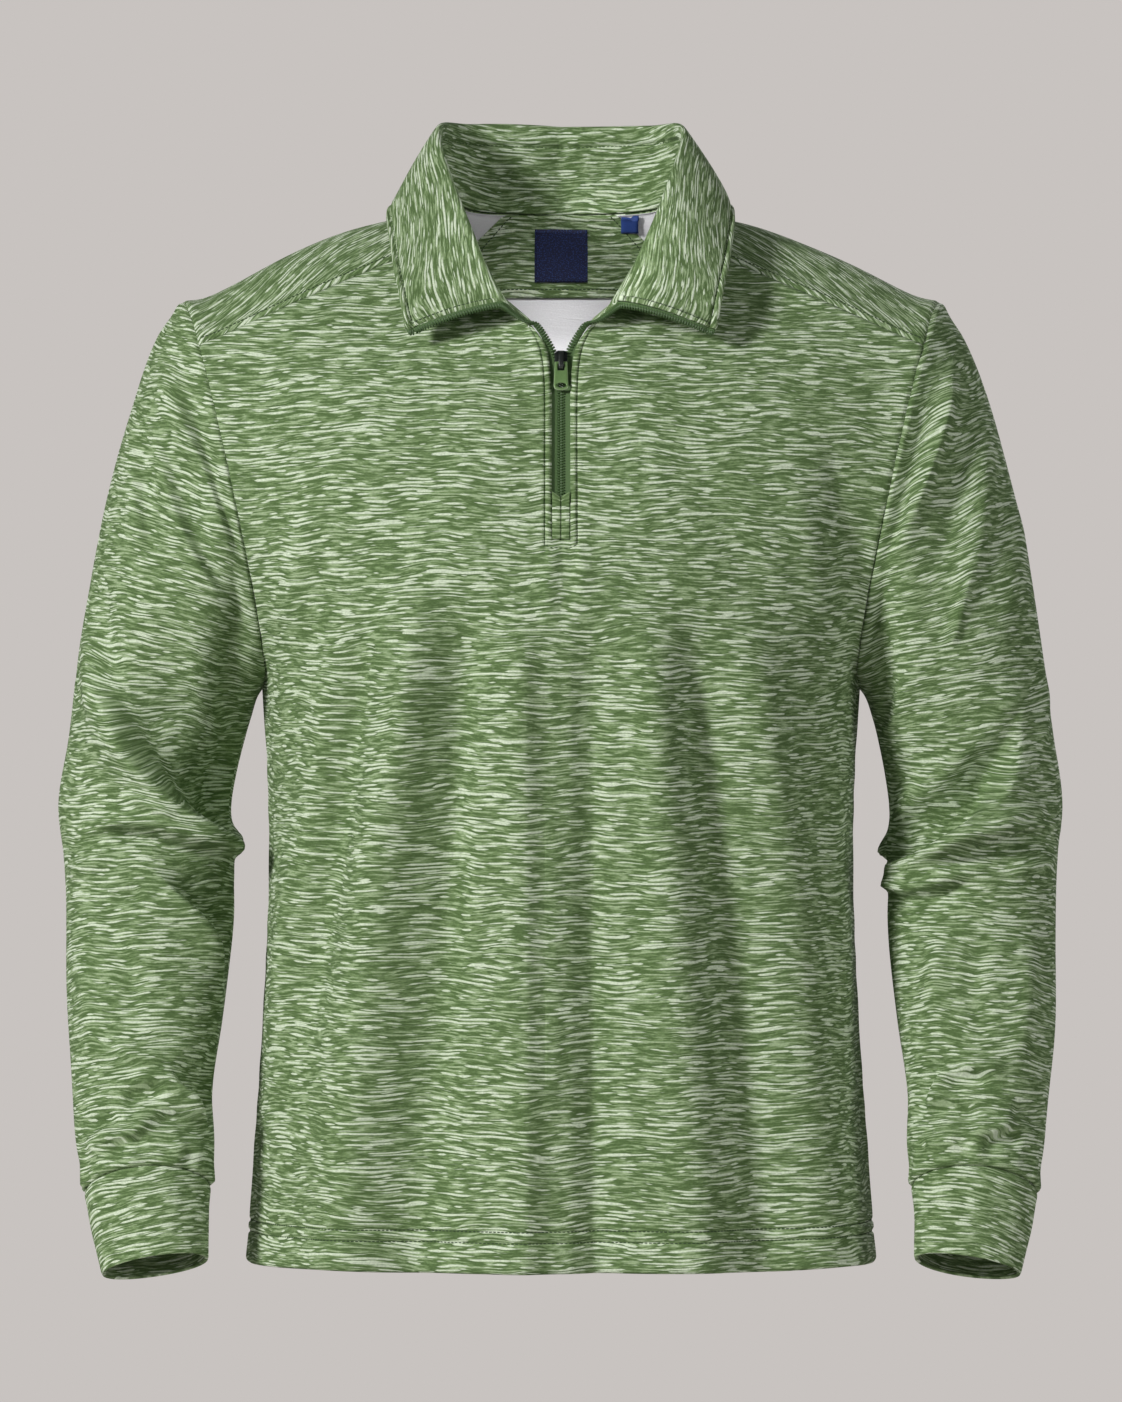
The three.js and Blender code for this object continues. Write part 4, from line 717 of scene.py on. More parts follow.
def makeSleeve(side, seed):
    rows = places((0, 22, 22 * alongFine))
    first = {key: column[0] for key, column in sleeveSections.items()}
    grid, lifts = [], []
    for row in rows:
        along = row / 22
        section = readTable(sleeveSections, "at", along)
        fromArmhole = armholePoint(tubeAngles) - sectionPoint(first, tubeAngles)
        points = sectionPoint(section, tubeAngles) + fromArmhole * (1 - smooth(along, 0, 0.3))
        points[:, 2] += frontBow(tubeAngles) * smooth(along, 0.8, 1)
        grid.append(points)
        roundLength = math.pi * (section["halfDepth"] + (section["outerX"] - section["innerX"]) / 2)
        lifts.append(smooth(row, 0, 2) * smooth(22 - row, 0, 1.6)
                     * foldLift(sleeveFolds[side], along, tubeAngles % 360, roundLength))
    grid = np.array(grid)
    pickRows = np.arange(0, 22 * alongFine + 1, alongFine)
    pickColumns = np.arange(0, len(tubeColumns), aroundFine)
    coarse = grid[np.ix_(pickRows, pickColumns)]
    grid += gridNormals(grid, True) * np.array(lifts)[..., None]
    sheet = {"grid": grid, "rows": rows, "columns": tubeColumns}
    insertPlaces(sheet, rows=[0.03, 0.08, 22 - 0.08, 22 - 0.03])
    grid, rows = sheet["grid"], sheet["rows"]
    normals = gridNormals(grid, True)
    _, _, low, high = edgeDistances(grid)
    seen = grid if side == "left" else mirrored(grid)
    facing = smooth(-normals[..., 1], -0.1, 0.4)
    behind = smooth(normals[..., 1], -0.1, 0.4)
    lift = creaseLift("sleeve_" + side, seen) * facing + creaseLift(f"sleeve_{side}_back", seen) * behind
    bend = lift
    lift = lift + stepLift("sleeve_" + side, seen) * facing + stepLift(f"sleeve_{side}_back", seen) * behind
    angle = np.radians(tubeAngles)
    lift += unevenness(grid * [1, 1, 0.6], seed, 90, 0.8)
    lift = lift * smooth(low, 0, 26) * smooth(high, 0, 20)
    gather = np.sin(11 * angle + seed) + 0.7 * np.sin(17 * angle + 2 * seed) + 0.5 * np.sin(7 * angle)
    lift += 0.8 * gather * np.exp(-((high - 9) / 12) ** 2)
    lift += seamPuff(low, 1.9) + seamPuff(high, 3.0)
    along = np.cumsum(np.linalg.norm(np.diff(grid[0], axis=0), axis=-1))
    around = np.concatenate([[0], along])
    lift += 0.3 * np.sin(around / 4.6 + 1.2 * np.sin(around / 21)) * np.exp(-((low - 5) / 5) ** 2)
    sheet["grid"] = grid + normals * lift[..., None]
    layFlat(sheet, coarse, np.arange(0, 23.0), np.arange(0, 25.0))
    sheet["uv"] = sheet["uv"] + bend[..., None] * [0, foldShift * 1e-3]
    if side == "right":
        sheet["grid"] = mirrored(sheet["grid"])[:, ::-1]
        sheet["uv"] = sheet["uv"][:, ::-1] * [-1, 1]
    sheet["normals"] = gridNormals(sheet["grid"], True)
    return sheet


def makeCuff(side, seed):
    rows = places((0, 0.2, 5), (0.2, 2.8, 12), (2.8, 3, 4))
    grid = []
    for row in rows:
        along = row / 3
        points = sectionPoint(readTable(cuffSections, "at", along), tubeAngles)
        points[:, 2] += frontBow(tubeAngles) * (1 - along)
        grid.append(points)
    grid = np.array(grid)
    sheet = {"grid": grid, "rows": rows, "columns": tubeColumns}
    normals = gridNormals(grid, True)
    _, _, low, high = edgeDistances(grid)
    angle = np.radians(tubeAngles)
    lift = seamPuff(low, 1.2) + 0.35 * np.sin(9 * angle + seed) * np.sin(np.pi * np.clip(low / 40, 0, 1))
    lift += 0.5 * np.sin(3 * angle + seed) * smooth(low, 4, 30)
    lift -= 0.5 * np.exp(-((high / 1.2) ** 2))
    coarse = grid[[0, 8, 14, -1]][:, ::aroundFine]
    sheet["grid"] = grid + normals * lift[..., None]
    layFlat(sheet, coarse, rows[[0, 8, 14, -1]], np.arange(0, 25.0))
    if side == "right":
        sheet["grid"] = mirrored(sheet["grid"])[:, ::-1]
        sheet["uv"] = sheet["uv"][:, ::-1] * [-1, 1]
    sheet["normals"] = gridNormals(sheet["grid"], True)
    return sheet


sleeves = {side: makeSleeve(side, seed) for side, seed in (("left", 3), ("right", 5))}
cuffs = {side: makeCuff(side, seed) for side, seed in (("left", 1.3), ("right", 2.9))}
say("sleeves shaped")

# The collar's own profile: up the stand, round the fold and down the leaf.
collarRows = [("stand", s) for s in (0, 0.02, 0.04, 0.06, 0.1, 0.18, 0.26, 0.34, 0.42, 0.5, 0.58, 0.66, 0.71,
                                     0.745, 0.77, 0.79, 0.81, 0.83, 0.85, 0.875, 0.91, 0.95)]
collarRows += [("turn", s) for s in np.linspace(0, 1, 11)]
collarRows += [("leaf", s) for s in (0.04, 0.1, 0.17, 0.24, 0.31, 0.38, 0.45, 0.52, 0.59, 0.66, 0.73, 0.79, 0.84,
                                     0.875, 0.892, 0.906, 0.92, 0.934, 0.948, 0.965, 0.985, 1)]
foldRow = 22 + 5


def collarProfile(at):
    def foldAt(place):
        return readPoint(collarFold, place) if place <= 1 else mirrored(readPoint(collarFold, 2 - place))
    seam, fold, edge = neckPoint(at), foldAt(at), readPoint(collarEdge, at)
    lengthwise = unit(foldAt(at + 0.03) - foldAt(max(at - 0.03, 0)))
    up = unit(fold - seam)
    standNormal = unit(np.cross(up, lengthwise))
    crest = unit(up - lengthwise * up.dot(lengthwise))
    leafNormal = unit(np.cross(edge - fold, lengthwise))
    turn = math.acos(np.clip(standNormal.dot(leafNormal), -1, 1))

    def rounded(share):
        return standNormal * math.cos(turn * share) + crest * math.sin(turn * share)
    radius = 5 - 1.8 * smooth(at, 0, 0.5)
    centre = fold - rounded(0.5) * radius
    seam = seam + standNormal * (wall["doubled"] + layerGap) + up * 0.5 * layerGap
    standTop, leafTop = centre + standNormal * radius, centre + rounded(1) * radius
    belly = 4.5 - 3.3 * smooth(at, 0, 0.45)
    profile = []
    for part, share in collarRows:
        if part == "stand":
            profile.append(seam + (standTop - seam) * share - standNormal * 1.5 * math.sin(math.pi * share))
        elif part == "turn":
            profile.append(centre + rounded(share) * radius)
        else:
            lift = belly * math.sin(math.pi * share**0.8)
            profile.append(leafTop + (edge - leafTop) * share + leafNormal * lift)
    return profile


def makeCollar():
    columns = places((0, 0.1, 3), (0.1, 0.3, 12), (0.3, 5, 40), (5, 17, 96), (17, 21.7, 40), (21.7, 21.9, 12),
                     (21.9, 22, 3))
    grid = []
    for c in columns:
        column = min(c, 22 - c)
        at = neckSeamShare * column / 5 if column <= 5 else neckSeamShare + (1 - neckSeamShare) * (column - 5) / 6
        profile = np.array(collarProfile(at))
        grid.append(mirrored(profile) if c <= 11 else profile)
    grid = np.array(grid).transpose(1, 0, 2)
    rows = np.arange(len(collarRows), dtype=float)
    sheet = {"grid": grid, "rows": rows, "columns": columns}
    normals = gridNormals(grid)
    left, right, low, high = edgeDistances(grid)
    isLeaf = (rows > foldRow)[:, None]
    share = np.array([s if part != "turn" else 0 for part, s in collarRows])[:, None]
    lift = unevenness(grid, 41, 110, 0.9) * smooth(np.minimum(low, high), 0, 16)
    wave = np.sin(left / 23 + 0.8) + 0.7 * np.sin(left / 13.5)
    lift += np.where(isLeaf, 0.7 * wave * np.exp(-((high / 22) ** 2)), 0) * smooth(np.minimum(left, right), 0, 30)
    ridge = np.where(isLeaf, 9, share - 0.81)  # the stitched ridge inside the stand
    lift += 2.0 * np.exp(-((ridge / 0.085) ** 2)) - 4.4 * np.exp(-((ridge / 0.03) ** 2))
    hem = np.where(isLeaf, share - 0.92, 9)
    side = np.minimum(left, right)
    puckers = 1 + 0.25 * np.sin(left / 1.9)
    lift += 0.7 * np.exp(-(((hem - 0.04) / 0.03) ** 2)) - 2.0 * puckers * np.exp(-((hem / 0.018) ** 2))
    puckers = 1 + 0.25 * np.sin(low / 1.9)
    lift += np.where(isLeaf, 0.7 * np.exp(-(((side - 2.6) / 1.8) ** 2)), 0)
    lift -= np.where(isLeaf, 2.0 * puckers * np.exp(-(((side - 5.4) / 1.4) ** 2)), 0)
    lift -= 0.6 * np.exp(-((high / 1.2) ** 2)) * isLeaf + 0.5 * np.exp(-((side / 1.2) ** 2))
    lift += np.where(isLeaf, 0, 0.8 * np.exp(-((low - 3) / 1.6) ** 2) - 0.6 * np.exp(-((low - 5.4) / 0.9) ** 2))
    sheet["grid"] = grid + normals * lift[..., None]
    sheet["normals"] = gridNormals(sheet["grid"])
    straight = left - left[:, left.shape[1] // 2][:, None]
    sheet["uv"] = np.stack([np.repeat(straight[foldRow][None], len(rows), 0), low], -1) * 1e-3
    quad = np.linalg.norm(np.cross(grid[1:, 1:] - grid[:-1, :-1], grid[1:, :-1] - grid[:-1, 1:]), axis=-1) / 2
    sheet["area"] = float(quad.sum()) * 1e-6
    sheet["flat"] = (float(np.ptp(straight)) * 1e-3, float(low[-1].max()) * 1e-3)
    return sheet


collar = makeCollar()
say("collar shaped")


def gridPiece(name, sheet, materials, thickness=None, isClosed=False, isCut=None, offset=-1,
              body="garment", replaces=()):
    rows, columns = sheet["grid"].shape[:2]
    shape = bmesh.new()
    shape.loops.layers.uv.new("UVMap")
    bmesh.ops.create_grid(shape, x_segments=columns - 1, y_segments=rows - 1, size=1, calc_uvs=True)
    mesh = bpy.data.meshes.new(name)
    shape.to_mesh(mesh)
    mesh.vertices.foreach_set("co", (sheet["grid"].reshape(-1, 3) * 1e-3).astype(np.float32).ravel())
    corner = np.empty(len(mesh.loops), int)
    mesh.loops.foreach_get("vertex_index", corner)
    uv = sheet["uv"].reshape(-1, 2)[corner]
    mesh.uv_layers[0].data.foreach_set("uv", uv.astype(np.float32).ravel())
    shape.clear()
    shape.from_mesh(mesh)
    shape.faces.ensure_lookup_table()
    if isCut:
        gone = []
        for face in shape.faces:
            low = min(v.index for v in face.verts)
            if isCut(low // columns, low % columns):
                gone.append(face)
        bmesh.ops.delete(shape, geom=gone, context="FACES")
    if isClosed:
        bmesh.ops.remove_doubles(shape, verts=shape.verts, dist=1e-6)
    for face in shape.faces:
        face.smooth = True
    shape.to_mesh(mesh)
    shape.free()
    for material in materials:
        mesh.materials.append(material)
    piece = bpy.data.objects.new(name, mesh)
    bpy.context.scene.collection.objects.link(piece)
    if thickness:
        shell = piece.modifiers.new("wall", "SOLIDIFY")
        shell.thickness = thickness * 1e-3
        shell.offset = offset
        shell.material_offset = 1 if len(materials) > 1 else 0
    return dress(piece, body, replaces)


def dress(piece, body="garment", replaces=()):
    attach(piece, body)
    if replaces:
        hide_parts(*replaces)
    return piece


def onSheet(sheet, rowPlaces, columnPlaces, lift=0.0):
    # points and normals of a piece at given places
    rowPlaces, columnPlaces = np.broadcast_arrays(np.asarray(rowPlaces, float), np.asarray(columnPlaces, float))
    made = []
    j = np.clip(np.searchsorted(sheet["rows"], rowPlaces, side="right") - 1, 0, len(sheet["rows"]) - 2)
    i = np.clip(np.searchsorted(sheet["columns"], columnPlaces, side="right") - 1, 0, len(sheet["columns"]) - 2)
    t = ((rowPlaces - sheet["rows"][j]) / (sheet["rows"][j + 1] - sheet["rows"][j]))[..., None]
    s = ((columnPlaces - sheet["columns"][i]) / (sheet["columns"][i + 1] - sheet["columns"][i]))[..., None]
    for field in (sheet["grid"], sheet["normals"]):
        low = field[j, i] * (1 - s) + field[j, i + 1] * s
        high = field[j + 1, i] * (1 - s) + field[j + 1, i + 1] * s
        made.append(low * (1 - t) + high * t)
    normals = unit(made[1])
    return made[0] + normals * lift, normals


def repeatShape(name, template, frames, material, body="garment", replaces=()):
    # one joined mesh of copies of a small shape, each placed by its own frame: place, and three axes
    vertices = np.array([v.co[:] for v in template.verts])
    faces = [[v.index for v in face.verts] for face in template.faces]
    points, polygons = [], []
    for k, (place, x, y, z) in enumerate(frames):
        points.append((place + vertices @ np.array([x, y, z])) * 1e-3)
        polygons += [[i + k * len(vertices) for i in face] for face in faces]
    mesh = bpy.data.meshes.new(name)
    mesh.from_pydata(np.concatenate(points).tolist(), [], polygons)
    mesh.shade_smooth()
    mesh.materials.append(material)
    piece = bpy.data.objects.new(name, mesh)
    bpy.context.scene.collection.objects.link(piece)
    return dress(piece, body, replaces)


def stitchFrames(points, normals, step, size, phase=0.5):
    # stitches along a path, each lying along it and half sunk in the cloth
    gaps = np.linalg.norm(np.diff(points, axis=0), axis=-1)
    length = np.concatenate([[0], np.cumsum(gaps)])
    count = max(1, int(length[-1] / step))
    frames = []
    for k in range(count):
        at = (k + phase) * length[-1] / count
        place = np.array([np.interp(at, length, points[:, a]) for a in range(3)])
        normal = unit(np.array([np.interp(at, length, normals[:, a]) for a in range(3)]))
        ahead = np.array([np.interp(at + 0.6, length, points[:, a]) - np.interp(at - 0.6, length, points[:, a])
                          for a in range(3)])
        along = unit(ahead - normal * ahead.dot(normal))
        aside = np.cross(normal, along)
        frames.append((place, along * size[0] / 2, aside * size[1] / 2, normal * size[2] / 2))
    return frames


threadShape = bmesh.new()
bmesh.ops.create_uvsphere(threadShape, u_segments=6, v_segments=4, radius=1,
                          matrix=Matrix.Rotation(math.pi / 2, 4, "Y"))


def newMaterial(name):
    material = bpy.data.materials.new(name)
    material.use_nodes = True
    material.node_tree.nodes.clear()
    return material, material.node_tree


def node(tree, kind, sockets=None, **settings):
    made = tree.nodes.new("ShaderNode" + kind)
    for key, value in settings.items():
        setattr(made, key, value)
    for key, value in (sockets or {}).items():
        socket = made.inputs[key]
        if isinstance(value, bpy.types.NodeSocket):
            tree.links.new(value, socket)
        else:
            socket.default_value = value
    return made


def colour(r, g, b):
    # a colour as it looks on a screen, made linear
    return tuple((c / 255 / 12.92 if c < 10.3 else ((c / 255 + 0.055) / 1.055) ** 2.4) for c in (r, g, b)) + (1,)


def mix(tree, factor, a, b, blend="MIX"):
    made = node(tree, "Mix", {0: factor, 6: a, 7: b}, data_type="RGBA", blend_type=blend)
    return made.outputs[2]


def band(tree, value, low, high):
    # 0 below low, 1 above high and smooth between
    made = node(tree, "MapRange", {"Value": value, "From Min": low, "From Max": high},
                interpolation_type="SMOOTHSTEP")
    return made.outputs["Result"]


def reckon(tree, operation, a, b=0.0, c=0.0):
    return node(tree, "Math", {0: a, 1: b, 2: c}, operation=operation).outputs[0]


def noiseAt(tree, vector, scale, place=(0, 0, 0), detail=1.0, roughness=0.5):
    # noise whose grains are as large as scale says, in metres
    moved = node(tree, "Mapping", {"Vector": vector, "Location": place,
                                   "Scale": (1 / scale[0], 1 / scale[1], 1)}).outputs[0]
    return node(tree, "TexNoise", {"Vector": moved, "Scale": 1.0, "Detail": detail, "Roughness": roughness},
                noise_dimensions="2D").outputs[0]


def finish(tree, material, base, roughness, height=None, strength=0.5, distance=0.0003, **extra):
    sockets = {"Base Color": base, "Roughness": roughness}
    sockets.update(extra)
    if height is not None:
        sockets["Normal"] = node(tree, "Bump", {"Height": height, "Strength": strength,
                                                "Distance": distance}).outputs[0]
    shader = node(tree, "BsdfPrincipled", sockets)
    out = node(tree, "OutputMaterial")
    tree.links.new(shader.outputs[0], out.inputs["Surface"])
    return material


knit = {
    "mid": colour(115, 138, 92), "dark": colour(86, 109, 65), "light": colour(206, 218, 192),
    "soft": colour(156, 175, 135), "darkBand": (0.4, 0.56), "softBand": (0.55, 0.69), "grain": 0.15,
    # the dyed lengths of yarn: the height of its rows, how long one is, how rare, and its colour
    "lines": [(0.0021, 0.016, 0.72, "dark"), (0.0019, 0.02, 0.73, "soft"), (0.0026, 0.027, 0.75, "light"),
              (0.0023, 0.016, 0.775, "light")],
}


def yarnLines(tree, across, along, shift, height, length, rare):
    row = reckon(tree, "MULTIPLY_ADD", along, 1 / height, 0.37 * shift)
    middle = reckon(tree, "PINGPONG", row, 0.5)
    yarn = node(tree, "CombineXYZ", {0: across, 1: reckon(tree, "MULTIPLY", reckon(tree, "FLOOR", row), 0.0731)})
    dye = reckon(tree, "MINIMUM", noiseAt(tree, yarn.outputs[0], (length, 0.01), (shift, 5, 0)), rare - 0.1)
    lines = band(tree, reckon(tree, "MULTIPLY_ADD", middle, 0.4, dye), rare - 0.03, rare + 0.03)
    return lines


def knitNodes(tree, shift):
    # space dyed yarn: long thin tapered streaks along the courses, over a ground that goes lighter and darker
    uv = node(tree, "UVMap").outputs[0]
    sway = noiseAt(tree, uv, (0.06, 0.035), (shift, 0.3, 0))
    ripple = noiseAt(tree, uv, (0.02, 0.008), (shift, 3.3, 0))
    parts = node(tree, "SeparateXYZ", {0: uv})
    across = parts.outputs[0]
    along = reckon(tree, "MULTIPLY_ADD", sway, 0.009, parts.outputs[1])
    along = reckon(tree, "MULTIPLY_ADD", ripple, 0.0016, along)
    cloth = node(tree, "CombineXYZ", {0: across, 1: along}).outputs[0]
    patches = noiseAt(tree, cloth, (0.014, 0.0018), (shift + 5, 7, 0), 2.0, 0.6)
    worn = mix(tree, band(tree, patches, *knit["darkBand"]), knit["dark"], knit["mid"])
    worn = mix(tree, band(tree, patches, *knit["softBand"]), worn, knit["soft"])
    height = patches
    for k, (tall, long, rare, tint) in enumerate(knit["lines"]):
        lines = yarnLines(tree, across, along, shift + 2.7 * k, tall, long, rare)
        worn = mix(tree, lines, worn, knit[tint])
        height = reckon(tree, "MULTIPLY_ADD", lines, -0.6 if tint == "dark" else 0.7, height)
    grain = noiseAt(tree, cloth, (0.0017, 0.0009), (shift, 0, 0), 2.0, 0.7)
    low, high = 1 - knit["grain"], 1 + knit["grain"]
    shade = mix(tree, band(tree, grain, 0.25, 0.75), (low, low, low, 1), (high, high, high, 1))
    worn = mix(tree, 1.0, worn, shade, "MULTIPLY")
    return uv, worn, reckon(tree, "MULTIPLY_ADD", grain, 1.2, height)


def knitMaterial(name, shift):
    material, tree = newMaterial(name)
    _, worn, height = knitNodes(tree, shift)
    return finish(tree, material, worn, 0.92, height, 0.45, 0.0004,
                  **{"Sheen Weight": 0.05, "Sheen Roughness": 0.5, "Specular IOR Level": 0.2})


def reverseMaterial(name, shift, hem):
    # the pale reverse of the knit, with the turned up hem in its own colour
    material, tree = newMaterial(name)
    uv, worn, height = knitNodes(tree, shift)
    grain = noiseAt(tree, uv, (0.0012, 0.0009), (shift, 0, 0), 2.0)
    pale = mix(tree, grain, colour(232, 231, 233), colour(247, 246, 248))
    along = node(tree, "SeparateXYZ", {0: uv}).outputs[1]
    base = mix(tree, band(tree, along, hem - 0.0004, hem + 0.0004), worn, pale) if hem else pale
    return finish(tree, material, base, 0.95, height, 0.3, 0.0004, **{"Specular IOR Level": 0.2})


def wovenMaterial(name, dark, light, size, roughness=0.7, flecks=None):
    material, tree = newMaterial(name)
    uv = node(tree, "UVMap").outputs[0]
    warp = node(tree, "TexWave", {"Vector": uv, "Scale": 1 / size / 2}, bands_direction="X").outputs[1]
    weft = node(tree, "TexWave", {"Vector": uv, "Scale": 1 / size / 2}, bands_direction="Y").outputs[1]
    weave = reckon(tree, "MULTIPLY", warp, weft)
    base = mix(tree, weave, dark, light)
    if flecks:
        spots = noiseAt(tree, uv, (size * 1.6, size * 1.1), (3, 1, 0), 1.0)
        base = mix(tree, reckon(tree, "MULTIPLY", band(tree, spots, 0.56, 0.64), 0.5), base, flecks)
    return finish(tree, material, base, roughness, weave, 0.5, 0.0003)


def metalMaterial(name, dark, light, roughness, metallic, worn=None):
    material, tree = newMaterial(name)
    place = node(tree, "TexCoord").outputs["Object"]
    moved = node(tree, "Mapping", {"Vector": place, "Scale": (400, 400, 400)}).outputs[0]
    spots = node(tree, "TexNoise", {"Vector": moved, "Scale": 1.0, "Detail": 3.0}).outputs[0]
    base = mix(tree, spots, dark, light)
    # The sharpest edges are painted a paler colour: a painted highlight along the rims, together with rubbed wear.
    if worn:
        edge = node(tree, "NewGeometry").outputs["Pointiness"]
        base = mix(tree, band(tree, edge, 0.53, 0.6), base, worn)
    return finish(tree, material, base, roughness, spots, 0.15, 0.0002, Metallic=metallic)


knitCloth = {name: knitMaterial("knit_" + name, shift) for name, shift in (
    ("front", 0.0), ("back", 31.0), ("sleeve_left", 47.0), ("sleeve_right", 59.0), ("cuffs", 71.0),
    ("collar", 83.0), ("trim", 97.0))}
reverse = {name: reverseMaterial("reverse_" + name, shift, hem) for name, shift, hem in (
    ("body", 5.0, 0.028), ("sleeve", 15.0, 0))}
tapeCloth = wovenMaterial("tape_cloth", colour(70, 98, 52), colour(112, 141, 90), 0.0009)
toothPlastic = wovenMaterial("tooth_plastic", colour(62, 88, 46), colour(96, 124, 76), 0.002, 0.42)
thread = wovenMaterial("thread", colour(44, 64, 34), colour(76, 100, 60), 0.0004)
navyWeave = wovenMaterial("navy_weave", colour(13, 18, 48), colour(30, 40, 84), 0.0007, 0.65, colour(54, 84, 160))
blueWeave = wovenMaterial("blue_weave", colour(20, 48, 112), colour(44, 84, 160), 0.0007, 0.65)
# The pale edge colours given here are painted highlights along the rims of the slider and tab, with some rubbed wear.
gunmetal = metalMaterial("gunmetal", colour(30, 34, 32), colour(58, 62, 60), 0.32, 0.9, colour(120, 124, 118))
enamel = metalMaterial("enamel", colour(98, 132, 74), colour(124, 154, 98), 0.34, 0.35, colour(206, 216, 190))
say("materials made")

slitRow = int(np.argmin(np.abs(front["rows"] - zipBottomRow)))


def isSlit(j, i):
    return j >= slitRow and 12 - 1e-6 <= front["columns"][i] < 13 - 1e-6


frontPiece = gridPiece("front_panel", front, [knitCloth["front"], reverse["body"]], wall["knit"],
                       isCut=isSlit, replaces=["front"])
backPiece = gridPiece("back_panel", back, [knitCloth["back"], reverse["body"]], wall["knit"],
                      replaces=["back"])
sleevePieces = {side: gridPiece(f"{side}_sleeve", sheet, [knitCloth["sleeve_" + side], reverse["sleeve"]],
                                wall["knit"], True, replaces=["sleeve_" + side])
                for side, sheet in sleeves.items()}
cuffPieces = {side: gridPiece(f"{side}_cuff", sheet, [knitCloth["cuffs"]], wall["doubled"], True,
                              replaces=["cuff_" + side])
              for side, sheet in cuffs.items()}
collarPiece = gridPiece("collar_band", collar, [knitCloth["collar"]], wall["doubled"],
                        replaces=["collar"])
for piece, sheet, held in [(frontPiece, front, "hung"), (backPiece, back, "hung"), (collarPiece, collar, "folded"),
                           *[(sleevePieces[s], sleeves[s], "hung") for s in sleeves],
                           *[(cuffPieces[s], cuffs[s], "hung") for s in cuffs]]:
    min(sheet["area"], sheet["flat"][0] * sheet["flat"][1])
    print(piece.name, "flat", [round(x, 3) for x in sheet["flat"]], "area", round(sheet["area"], 4))
say("cloth made")


def zipPath():
    # the edge that the zip follows on the wearer's left: the slit from its end up, and then the collar's front edge
    rows = np.concatenate([np.arange(slitRow, len(front["rows"]))])
    i = int(np.argmin(np.abs(front["columns"] - 13)))
    panel, panelNormals = front["grid"][rows, i], front["normals"][rows, i]
    edge, edgeNormals = collar["grid"][:, -1], -collar["normals"][:, -1]
    places = np.concatenate([front["rows"][rows] - zipBottomRow, 7 + np.array(
        [{"stand": 3.5 * s, "turn": 4 + 3 * s - 0.5 * (1 - s), "leaf": 7 + 5 * s}[p] for p, s in collarRows])])
    depth = np.concatenate([np.full(len(rows), wall["knit"] + layerGap),
                            np.full(len(edge), -(wall["doubled"] + wall["tape"]) / 2)])
    return np.concatenate([panel, edge]), np.concatenate([panelNormals, edgeNormals]), places, depth


tapeEdges = table("at from to", [(0, -3.5, 5.9), (3, -3.5, 5.9), (4, -3.5, 5.6), (5, 0.7, 4.4), (6, 0.9, 3.9),
                                 (7, 0.9, 3.6), (9, 0.5, 3.5), (30, 0.5, 3.4)])


def makeTape():
    path, normals, at, depth = zipPath()
    # even steps, smoothed where the path leaves the panel for the collar
    length = np.concatenate([[0], np.cumsum(np.linalg.norm(np.diff(path, axis=0), axis=-1))])
    steps = np.linspace(0, length[-1], 190)
    tall = np.stack([np.interp(steps, length, f) for f in (*path.T, *normals.T, at, depth)], -1)
    ends = tall[0].copy(), tall[-1].copy()
    leaves = length[np.argmax(at >= 7)]
    joint = np.exp(-(((steps - leaves) / 17) ** 2))[1:-1, None]
    for k in range(160):
        evened = (tall[:-2] + tall[2:] + 2 * tall[1:-1]) / 4
        tall[1:-1] += (evened - tall[1:-1]) * (1 if k < 3 else joint)
    tall[0], tall[-1] = ends
    path, normals, at, depth = tall[:, :3], unit(tall[:, 3:6]), tall[:, 6], tall[:, 7]
    ahead = unit(np.gradient(path, axis=0))
    inwards = unit(np.cross(normals, ahead))
    edges = readTable(tapeEdges, "at", at)
    face = path - normals * depth[:, None]
    across = np.linspace(0, 1, 5)
    grid = np.stack([face + inwards * (edges["to"] + (edges["from"] - edges["to"]) * s)[:, None] for s in across], 1)
    uv = np.stack(np.broadcast_arrays(steps[:, None] * 1e-3, across[None] * 0.009), -1)
    return {"grid": grid, "uv": uv, "face": face, "inwards": inwards, "normals": normals, "ahead": ahead,
            "at": at, "to": edges["to"], "steps": steps}


tape = makeTape()


def flipped(sheet):
    return {"grid": mirrored(sheet["grid"])[:, ::-1], "uv": sheet["uv"][:, ::-1]}


for side, sheet in (("left", tape), ("right", flipped(tape))):
    gridPiece(f"{side}_tape", sheet, [tapeCloth], wall["tape"], replaces=["zip_tape_" + side])

# Teeth: a rounded bar each, in step with its neighbour on the other tape where the zip is shut.
toothShape = bmesh.new()
bmesh.ops.create_cube(toothShape, size=2)
bmesh.ops.bevel(toothShape, geom=toothShape.edges[:] + toothShape.verts[:], offset=0.42, segments=1,
                profile=0.5, affect="EDGES", material=-1)
toothStep = 1.9
frames = {"left": [], "right": []}
for k in range(int(tape["steps"][-1] / toothStep)):
    for side, sign, phase in (("left", 1, 0.25), ("right", -1, 0.75)):
        s = (k + phase) * toothStep
        if s > tape["steps"][-1] - 1.2:
            continue

        def at(field):
            return np.array([np.interp(s, tape["steps"], column) for column in np.atleast_2d(field.T)]).squeeze()
        place, normal, inward, ahead = (at(tape[key]) for key in ("face", "normals", "inwards", "ahead"))
        shut = 1 - smooth(at(tape["at"]), 3.4, 4.3)
        reach = at(tape["to"]) - 0.5 + 0.3 * shut
        place = place + inward * reach + normal * (0.55 - wall["tape"] * 0.5 * (1 - shut))
        axes = (unit(inward) * (2.0 - 0.4 * shut), unit(ahead) * 0.62, unit(normal) * (0.7 + 0.75 * (1 - shut)))
        if sign < 0:
            place, axes = mirrored(place), (mirrored(axes[0]), mirrored(axes[1]), -mirrored(axes[2]))
        frames[side].append((place, *axes))
for side in frames:
    repeatShape(f"{side}_teeth", toothShape, frames[side], toothPlastic)

